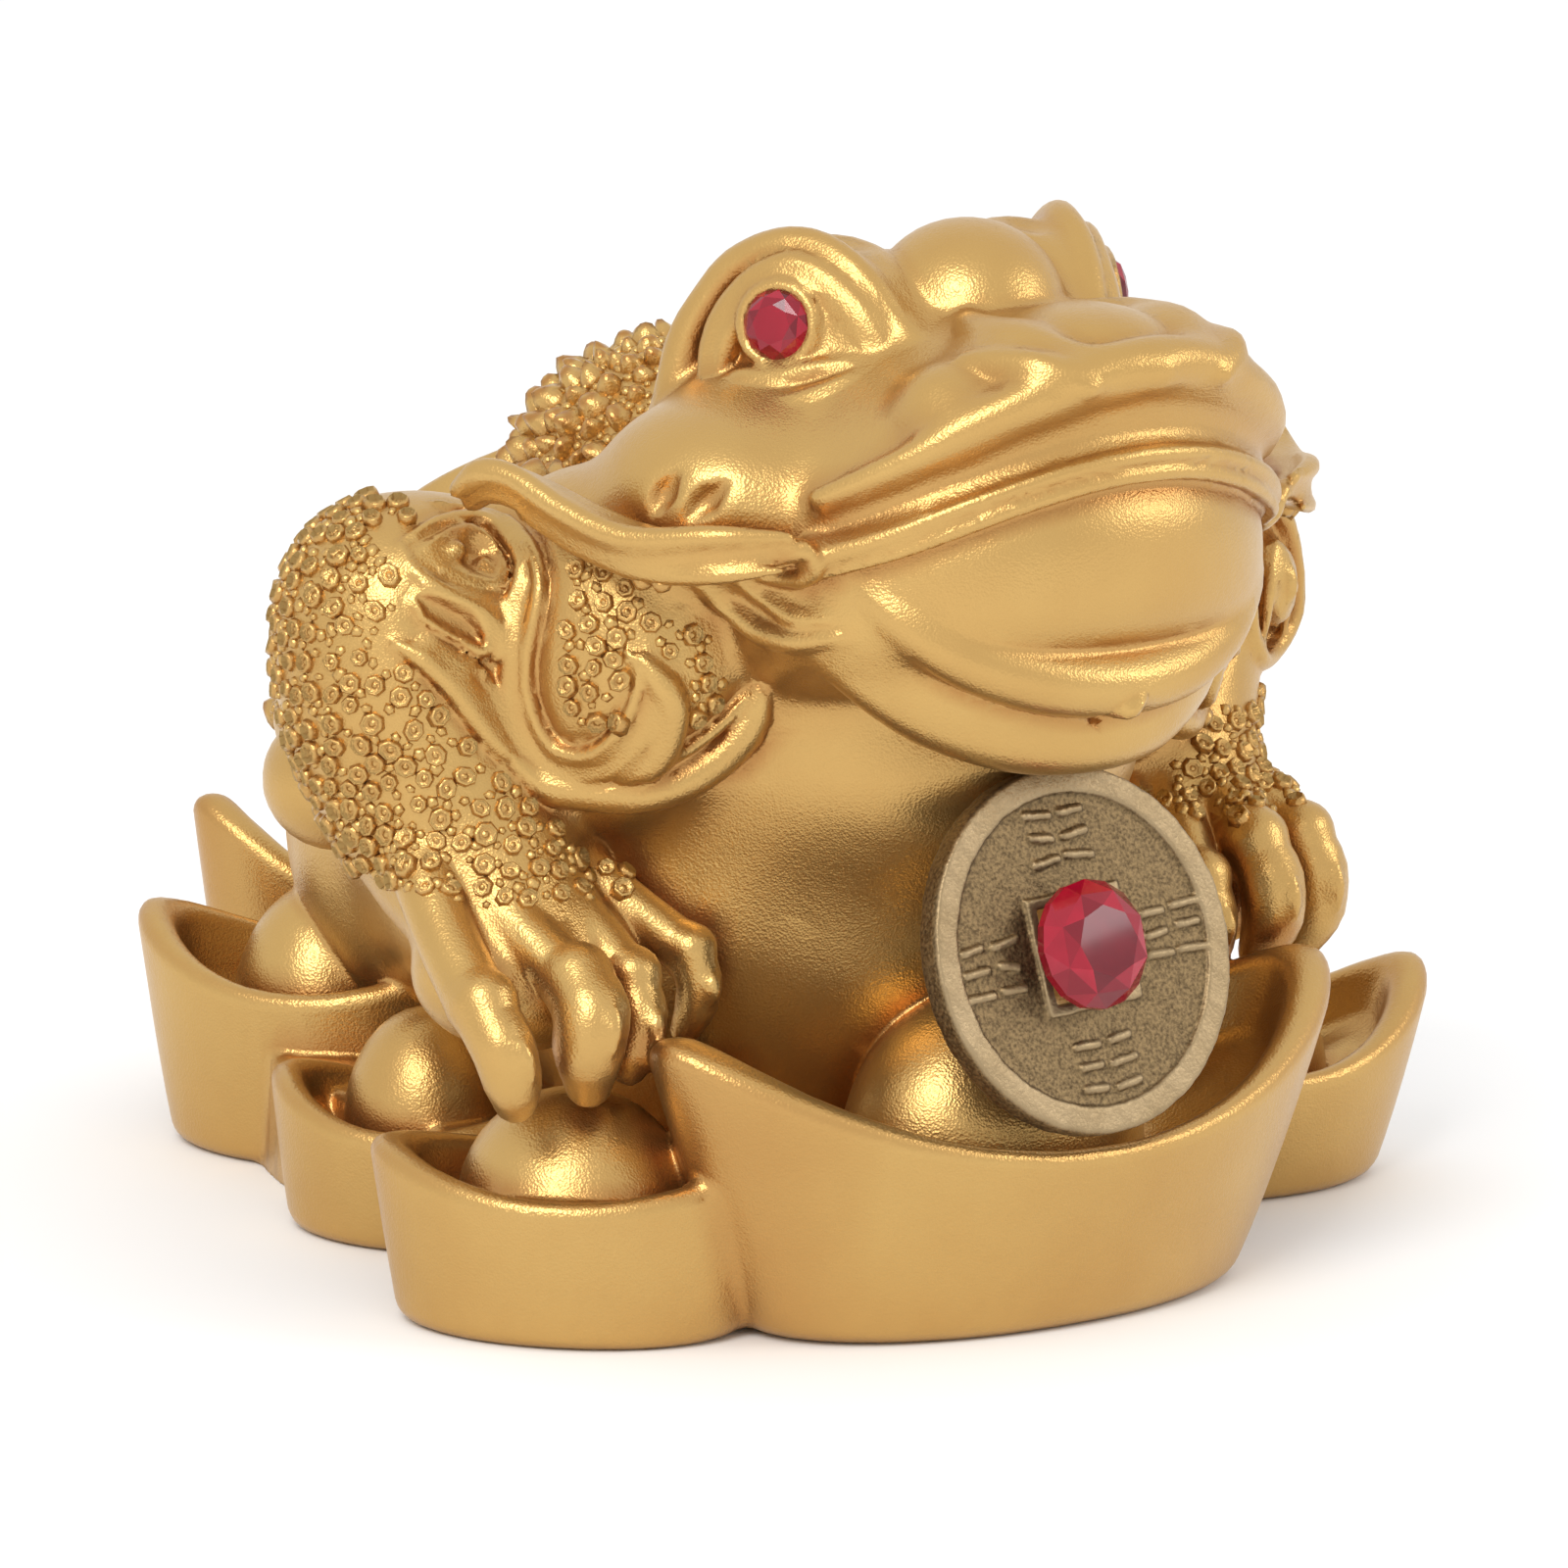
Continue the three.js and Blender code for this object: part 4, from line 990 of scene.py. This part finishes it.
def blend(tree, factor, first, second):
    # mixes two colours, each a value or a socket
    node = addNode(tree, "ShaderNodeMix", data_type="RGBA")
    for index, source in ((0, factor), (6, first), (7, second)):
        if isinstance(source, bpy.types.NodeSocket):
            tree.links.new(source, node.inputs[index])
        else:
            node.inputs[index].default_value = source
    return node.outputs[2]


def newMaterial(name):
    material = bpy.data.materials.new(name)
    material.use_nodes = True
    return material, material.node_tree, material.node_tree.nodes["Principled BSDF"]


def plainMaterial(name, code, metallic, roughness):
    material, tree, shader = newMaterial(name)
    shader.inputs["Base Color"].default_value = linear(code)
    shader.inputs["Metallic"].default_value = metallic
    shader.inputs["Roughness"].default_value = roughness
    return material


# scales are cells or ripples in a metre, and bump heights are in metres
paint = {
    # the third colour is painted shade, laid into creases and wart pits
    "open": "#CBA766", "warm": "#BC9356", "paintedShade": "#B2824A",
    "metallic": 0.85, "smoothest": 0.25, "roughest": 0.37,
    "shadeFrom": 0.08, "shadeFull": 0.75,  # depth of a hollow where the painted brown shade starts and where it is full
    "cloudScale": 90.0, "cloudDetail": 3.0,  # blotches of about 11 mm
    "flakeScale": 5000.0,  # one flake in 0.2 mm
    "grainScale": 2600.0, "grainDetail": 2.0,  # ripples of about 0.4 mm
    "bumpStrength": 0.5, "bumpHeight": 0.00005,
}


def goldPaint():
    # satin gold paint on cast resin: mica flakes glint as fine grain, and the hollows are darkened to
    # orange-brown as painted shade
    material, tree, shader = newMaterial("satinGoldPaint")
    place = addNode(tree, "ShaderNodeTexCoord").outputs["Object"]
    paintedShade = addNode(tree, "ShaderNodeAttribute", attribute_name="paintedShade").outputs["Fac"]
    cloud = addNode(tree, "ShaderNodeTexNoise", {"Vector": place}, Scale=paint["cloudScale"],
                    Detail=paint["cloudDetail"])
    # painted shade: the deeper the hollow, the more of the brown shade colour
    depth = addNode(tree, "ShaderNodeMapRange", {"Value": paintedShade}, From_Min=paint["shadeFrom"],
                    From_Max=paint["shadeFull"])
    tint = blend(tree, cloud.outputs["Fac"], linear(paint["open"]), linear(paint["warm"]))
    colour = blend(tree, depth.outputs["Result"], tint, linear(paint["paintedShade"]))
    tree.links.new(colour, shader.inputs["Base Color"])
    shader.inputs["Metallic"].default_value = paint["metallic"]
    # flakes: real ones are about 0.05 mm, drawn at 0.2 mm so that they still show
    flakes = addNode(tree, "ShaderNodeTexVoronoi", {"Vector": place}, Scale=paint["flakeScale"])
    grain = addNode(tree, "ShaderNodeTexNoise", {"Vector": place}, Scale=paint["grainScale"],
                    Detail=paint["grainDetail"])
    mixed = addNode(tree, "ShaderNodeMath", {0: flakes.outputs["Distance"], 1: grain.outputs["Fac"]},
                    operation="ADD")
    bump = addNode(tree, "ShaderNodeBump", {"Height": mixed.outputs["Value"]},
                   Strength=paint["bumpStrength"], Distance=paint["bumpHeight"])
    tree.links.new(bump.outputs["Normal"], shader.inputs["Normal"])
    rough = addNode(tree, "ShaderNodeMapRange", {"Value": cloud.outputs["Fac"]},
                    To_Min=paint["smoothest"], To_Max=paint["roughest"])
    tree.links.new(rough.outputs["Result"], shader.inputs["Roughness"])
    return material


def arraysOf(mesh):
    # vertices in millimetres and triangles
    mesh.calc_loop_triangles()
    vertices = np.zeros(len(mesh.vertices) * 3, np.float32)
    mesh.vertices.foreach_get("co", vertices)
    faces = np.zeros(len(mesh.loop_triangles) * 3, np.int32)
    mesh.loop_triangles.foreach_get("vertices", faces)
    return vertices.reshape(-1, 3) / mm, faces.reshape(-1, 3)


def shadeInHollowsAt(points):
    # mask of the painted shade, 0 on open skin, 1 deep in a crease: how much nearer the skin is, one reach
    # out, than on a flat face
    out = slopeAt(points)
    reach = casting["hollowReach"]
    return np.clip(1 - fieldAt(points + out * reach) / reach, 0, 1)


vertices, faces = castSkin()
print("skin read off:", len(vertices), "vertices")
toad = addPiece("goldToad", meshOf("goldToadSkin", vertices, faces), goldPaint())
thinned(toad, casting["mostFaces"])
vertices, faces = arraysOf(toad.data)
# painted shade of the skin, from how deep its creases are
parts = [(vertices, faces, shadeInHollowsAt(vertices))]
wartPlaces, wartOut, wartSizes, kinds = scatter()
for kind, (outline, sides, wobble) in wartForms.items():
    some = kinds == kind
    parts.append(wartShells(outline, sides, wobble, wartPlaces[some], wartOut[some], wartSizes[some]))
starts = np.cumsum([0] + [len(part[0]) for part in parts[:-1]])
whole = meshOf("goldToad", np.concatenate([part[0] for part in parts]),
               np.concatenate([part[1] + start for part, start in zip(parts, starts)]))
# painted shade in the skin's creases and the warts' pits, which the gold paint turns brown
paintedShade = whole.attributes.new("paintedShade", "FLOAT", "POINT")
paintedShade.data.foreach_set("value", np.concatenate([part[2] for part in parts]).astype(np.float32))
whole.materials.append(toad.data.materials[0])
toad.data = whole
print("casting has", len(whole.polygons), "faces with", len(wartPlaces), "warts")
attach(toad, "root")
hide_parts("toad_on_ingots")

coin = {
    "foot": (-0.4, -41.5, 16.5),  # where its edge meets the front ingot's rim
    "lean": 18.0, "spin": 3.8,  # degrees
    "diameter": 28.2, "thickness": 1.5, "rimWidth": 2.1, "relief": 0.4,
    "holeSide": 7.4, "collarWidth": 0.9,
    "edgeRound": 0.3, "collarRound": 0.25, "blend": 0.25, "strokeBlend": 0.1,
    "strokeReach": 8.9, "strokeWidth": 0.62, "strokeSunk": 0.62,  # the last is a share of the width
    "strokePitch": 1.75, "strokesInRow": 3, "rowPitch": 3.2,
    "strokeHalf": (0.75, 1.2), "strokeSlant": (-0.2, 0.2), "strokeSeed": 5,
    "wear": 0.03,  # how far its faces are worn up and down
    "pitch": 0.2, "thinPitch": 0.6,  # of the field it is read off, and the share of it through the coin
    "room": (0.6, 0.5),  # round it and beyond its faces
    "mostFaces": 60000,
    "brightGain": 1.3, "brightFrom": 0.2,  # how quickly raised parts turn bright
}


def coinAxes():
    # middle, right, up and front of the leaning coin
    lean = math.radians(coin["lean"])
    up = np.array([0, math.sin(lean), math.cos(lean)])
    front = np.array([0, -math.cos(lean), math.sin(lean)])
    return np.array(coin["foot"]) + up * coin["diameter"] / 2, np.array([1.0, 0, 0]), up, front


def coinField(points):
    # distances in the coin's own frame: a blank, its rim and collar, and rows of short strokes, less the hole
    x, y, z = points.T
    turn = math.radians(coin["spin"])
    u, v = x * math.cos(turn) + y * math.sin(turn), y * math.cos(turn) - x * math.sin(turn)
    reach, radius = np.hypot(x, y), coin["diameter"] / 2
    half, top = coin["thickness"] / 2, coin["thickness"] / 2 + coin["relief"]
    rimHalf, collarHalf = coin["rimWidth"] / 2, coin["collarWidth"] / 2
    square = np.maximum(np.abs(u), np.abs(v))
    blank = rounded(reach - radius, np.abs(z) - half, coin["edgeRound"])
    rim = rounded(np.abs(reach - radius + rimHalf) - rimHalf, np.abs(z) - top, coin["edgeRound"])
    middle = coin["holeSide"] / 2 + collarHalf
    collar = rounded(np.abs(square - middle) - collarHalf, np.abs(z) - top, coin["collarRound"])
    field = melt(melt(blank, rim, coin["blend"]), collar, coin["blend"])
    for (x0, y0), (x1, y1) in coinStrokes():
        along = np.array([x1 - x0, y1 - y0])
        t = np.clip(((u - x0) * along[0] + (v - y0) * along[1]) / (along @ along), 0, 1)
        away = np.hypot(u - x0 - t * along[0], v - y0 - t * along[1])
        stroke = np.hypot(away, z - half) - coin["strokeWidth"] * coin["strokeSunk"]
        field = melt(field, stroke, coin["strokeBlend"])
    ripples = np.sin(u * 1.9 + 1) * np.sin(v * 1.6) + 0.6 * np.sin(u * 4.1) * np.sin(v * 3.7 + 2)
    return np.maximum(field, coin["holeSide"] / 2 - square) + coin["wear"] * ripples


def coinStrokes():
    # four groups of two rows of short strokes, above, below and beside the hole, as pairs of ends
    strokes = []
    throw = np.random.default_rng(coin["strokeSeed"])
    middleRow = (coin["strokesInRow"] - 1) / 2
    for quarter in range(4):
        angle = quarter * math.pi / 2
        group = np.array([math.cos(angle), math.sin(angle)]) * coin["strokeReach"]
        for row in range(2):
            for place in range(coin["strokesInRow"]):
                half = throw.uniform(*coin["strokeHalf"])
                middle = np.array([(row - 0.5) * coin["rowPitch"], (place - middleRow) * coin["strokePitch"]])
                ends = [middle + [reach, throw.uniform(*coin["strokeSlant"])] for reach in (-half, half)]
                strokes.append([group + end for end in ends])
    return strokes


def coinMesh():
    # the coin's skin, read off its field and set in its place
    aside, beyond = coin["room"]
    pitch, radius = coin["pitch"], coin["diameter"] / 2 + aside
    deep = coin["thickness"] / 2 + coin["relief"] + beyond
    low = np.array([-radius, -radius, -deep])
    pitches = [pitch, pitch, pitch * coin["thinPitch"]]
    ticks = [np.arange(start, -start + pitch, gap) for start, gap in zip(low, pitches)]
    grid = np.stack(np.meshgrid(*ticks, indexing="ij"), -1)
    field = coinField(grid.reshape(-1, 3)).reshape(grid.shape[:3])
    vertices, faces = skinOf(field, np.zeros(3), 1.0)
    middle, right, up, front = coinAxes()
    return middle + (vertices * pitches + low) @ np.stack([right, up, front]), faces


bronze = {
    "pits": "#5A4932", "ground": "#8C7552", "rubbed": "#AE9876", "dull": "#8E7856",
    "metallic": 0.9, "smoothest": 0.3, "roughest": 0.6,
    "grainScale": 3600.0, "grainDetail": 3.0,  # pits of about 0.3 mm
    "cloudScale": 220.0, "cloudDetail": 4.0,  # stains of about 4.5 mm
    "speckleFrom": 0.35, "speckleFull": 0.65,
    "bumpStrength": 0.6, "bumpHeight": 0.0001,
}


def agedBronze():
    # cast bronze gone brown, rubbed bright on its rim, collar and strokes, with a grainy field
    material, tree, shader = newMaterial("agedBronze")
    place = addNode(tree, "ShaderNodeTexCoord").outputs["Object"]
    high = addNode(tree, "ShaderNodeAttribute", attribute_name="raised").outputs["Fac"]
    grain = addNode(tree, "ShaderNodeTexNoise", {"Vector": place}, Scale=bronze["grainScale"],
                    Detail=bronze["grainDetail"])
    cloud = addNode(tree, "ShaderNodeTexNoise", {"Vector": place}, Scale=bronze["cloudScale"],
                    Detail=bronze["cloudDetail"])
    speckled = addNode(tree, "ShaderNodeMapRange", {"Value": grain.outputs["Fac"]},
                       From_Min=bronze["speckleFrom"], From_Max=bronze["speckleFull"])
    field = blend(tree, speckled.outputs["Result"], linear(bronze["pits"]), linear(bronze["ground"]))
    worn = blend(tree, cloud.outputs["Fac"], linear(bronze["rubbed"]), linear(bronze["dull"]))
    tree.links.new(blend(tree, high, field, worn), shader.inputs["Base Color"])
    shader.inputs["Metallic"].default_value = bronze["metallic"]
    rough = addNode(tree, "ShaderNodeMapRange", {"Value": grain.outputs["Fac"]},
                    To_Min=bronze["smoothest"], To_Max=bronze["roughest"])
    tree.links.new(rough.outputs["Result"], shader.inputs["Roughness"])
    bump = addNode(tree, "ShaderNodeBump", {"Height": grain.outputs["Fac"]},
                   Strength=bronze["bumpStrength"], Distance=bronze["bumpHeight"])
    tree.links.new(bump.outputs["Normal"], shader.inputs["Normal"])
    return material


agedCoin = addPiece("agedCoin", meshOf("agedCoin", *coinMesh()), agedBronze())
thinned(agedCoin, coin["mostFaces"])
vertices, _ = arraysOf(agedCoin.data)
middle, right, up, front = coinAxes()
rise = np.abs((vertices - middle) @ front) - coin["thickness"] / 2
bright = np.clip(rise / coin["relief"] * coin["brightGain"] - coin["brightFrom"], 0, 1)
raised = agedCoin.data.attributes.new("raised", "FLOAT", "POINT")
raised.data.foreach_set("value", bright.astype(np.float32))
agedCoin.data.polygons.foreach_set("use_smooth", np.ones(len(agedCoin.data.polygons), bool))
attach(agedCoin, "root")
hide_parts("coin")

gems = {
    "sides": 8,
    "coinDiameter": 10.0, "coinHeight": 6.2, "coinShift": (-0.8, 0.2), "coinLift": 2.7,
    "eyeDiameter": 5.4, "eyeHeight": 3.4,
    # the cut, in shares of the radius and of the height
    "table": 0.56, "shoulder": 0.82, "shoulderRise": 0.72, "girdle": 0.12, "crown": 0.4,
    "pavilion": 0.48, "pavilionMiddle": (0.45, 0.62),
    "flatTurn": 0.02,  # faces that differ by less than this angle are one facet
    # seed of the painted light and shade given to each facet
    "facetLightSeed": 3,
}


def gemPoints(diameter, height):
    # corners of a round brilliant about +Z with its girdle's lower edge at 0
    radius, sides = diameter / 2, gems["sides"]
    whole = np.arange(sides) * 2 * math.pi / sides
    between = whole + math.pi / sides
    fine = np.arange(2 * sides) * math.pi / sides
    shoulder = gems["crown"] * gems["shoulderRise"] + gems["girdle"] * (1 - gems["shoulderRise"])
    inset, depth = gems["pavilionMiddle"]
    rings = [(whole, gems["table"], gems["crown"]), (between, gems["shoulder"], shoulder),
             (fine, 1.0, gems["girdle"]), (fine, 1.0, 0.0), (between, inset, -gems["pavilion"] * depth)]
    points = [np.stack([radius * r * np.cos(a), radius * r * np.sin(a), np.full(len(a), height * h)], 1)
              for a, r, h in rings]
    return np.vstack(points + [[[0, 0, -height * gems["pavilion"]]]])


def gemPiece(name, node, diameter, height, middle, axes, material):
    # the hull of its corners, with flat facets, each with painted light and shade of its own
    made = bmesh.new()
    for point in (middle + gemPoints(diameter, height) @ np.stack(axes)) * mm:
        made.verts.new(point)
    bmesh.ops.convex_hull(made, input=made.verts)
    bmesh.ops.dissolve_limit(made, angle_limit=gems["flatTurn"], verts=made.verts, edges=made.edges)
    bmesh.ops.recalc_face_normals(made, faces=made.faces)
    mesh = bpy.data.meshes.new(name)
    made.to_mesh(mesh)
    made.free()
    facetLights = np.random.default_rng(gems["facetLightSeed"]).random(len(mesh.polygons))
    paintedFacetLight = mesh.attributes.new("paintedFacetLight", "FLOAT", "FACE")
    paintedFacetLight.data.foreach_set("value", facetLights.astype(np.float32))
    piece = addPiece(name, mesh, material)
    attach(piece, "root")
    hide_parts(node)


glass = {
    # dark and bright are the painted shade and painted reflection of the facets
    "dark": "#3E0410", "bright": "#E01C40", "streak": "#8E0820",
    "streakScale": 300.0, "streakDetail": 2.0,  # streaks of about 3 mm
    "roughness": 0.03, "transmission": 0.3,
}


def redGlass():
    # cut and polished red glass, slightly streaked inside: its facets carry painted shade and painted
    # reflection, from near black to bright red
    material, tree, shader = newMaterial("redCutGlass")
    place = addNode(tree, "ShaderNodeTexCoord").outputs["Object"]
    streak = addNode(tree, "ShaderNodeTexNoise", {"Vector": place}, Scale=glass["streakScale"],
                     Detail=glass["streakDetail"])
    paintedFacetLight = addNode(tree, "ShaderNodeAttribute", attribute_name="paintedFacetLight").outputs["Fac"]
    # painted light and shade: each facet between the dark and the bright red
    facets = blend(tree, paintedFacetLight, linear(glass["dark"]), linear(glass["bright"]))
    colour = blend(tree, streak.outputs["Fac"], facets, linear(glass["streak"]))
    tree.links.new(colour, shader.inputs["Base Color"])
    shader.inputs["Roughness"].default_value = glass["roughness"]
    shader.inputs["Transmission Weight"].default_value = glass["transmission"]
    return material


redCutGlass = redGlass()
middle, right, up, front = coinAxes()
shiftRight, shiftUp = gems["coinShift"]
gemPlace = middle + right * shiftRight + up * shiftUp + front * gems["coinLift"]
gemPiece("coinGem", "coin_gem", gems["coinDiameter"], gems["coinHeight"], gemPlace, (right, up, front),
         redCutGlass)
for side, name, node in ((-1, "rightEyeGem", "right_eye_gem"), (1, "leftEyeGem", "left_eye_gem")):
    middle, _, upright, out = eyeAxes(side)
    gemPiece(name, node, gems["eyeDiameter"], gems["eyeHeight"], middle,
             (np.cross(upright, out), upright, out), redCutGlass)
print("coin and gems set")

studio = {
    "azimuth": -38.0, "elevation": 12.0, "roll": 1.5,  # degrees
    "distance": 0.9, "lens": 263.25, "sensor": 36.0, "target": (0, 0, 0.036),
    "near": 0.05, "far": 20.0,
    "floorHalf": 3e3, "floorColour": "#F4F4F4", "floorRoughness": 0.9,  # floorHalf is in millimetres
    "worldColour": (1, 1, 1, 1), "worldStrength": 1.0,
    "softboxes": {
        # place, what it faces, side and power
        "softboxLeft": ((-0.75, -0.45, 0.75), (0, 0, 0.04), 0.5, 6),
        "softboxRight": ((0.7, -0.7, 0.5), (0, 0, 0.04), 0.4, 2),
    },
}


def placeCamera():
    camera = bpy.data.objects.new("camera", bpy.data.cameras.new("camera"))
    bpy.context.scene.collection.objects.link(camera)
    camera.data.lens, camera.data.sensor_width = studio["lens"], studio["sensor"]
    camera.data.clip_start, camera.data.clip_end = studio["near"], studio["far"]
    a, e = math.radians(studio["azimuth"]), math.radians(studio["elevation"])
    back = Vector((math.sin(a) * math.cos(e), -math.cos(a) * math.cos(e), math.sin(e)))
    rolled = Matrix.Rotation(math.radians(studio["roll"]), 4, "Z")
    turn = (-back).to_track_quat("-Z", "Y").to_matrix().to_4x4() @ rolled
    camera.matrix_world = Matrix.Translation(Vector(studio["target"]) + back * studio["distance"]) @ turn
    bpy.context.scene.camera = camera


def areaLight(name, at, aim, size, power):
    light = bpy.data.lights.new(name, "AREA")
    light.energy, light.size = power, size
    lamp = bpy.data.objects.new(name, light)
    bpy.context.scene.collection.objects.link(lamp)
    lamp.location = at
    lamp.rotation_mode = "QUATERNION"
    lamp.rotation_quaternion = (Vector(aim) - Vector(at)).to_track_quat("-Z", "Y")


placeCamera()
corners = np.array([[-1, -1, 0], [1, -1, 0], [1, 1, 0], [-1, 1, 0]]) * studio["floorHalf"]
paper = plainMaterial("whitePaper", studio["floorColour"], 0, studio["floorRoughness"])
floor = addPiece("floor", meshOf("floor", corners, np.array([[0, 1, 2, 3]])), paper)
floor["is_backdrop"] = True
world = bpy.data.worlds.new("world")
bpy.context.scene.world = world
world.use_nodes = True
world.node_tree.nodes["Background"].inputs["Color"].default_value = studio["worldColour"]
world.node_tree.nodes["Background"].inputs["Strength"].default_value = studio["worldStrength"]
bpy.context.scene.view_settings.view_transform = "Standard"
for name, (at, aim, size, power) in studio["softboxes"].items():
    areaLight(name, at, aim, size, power)
print("camera, floor and light placed")

low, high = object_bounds()
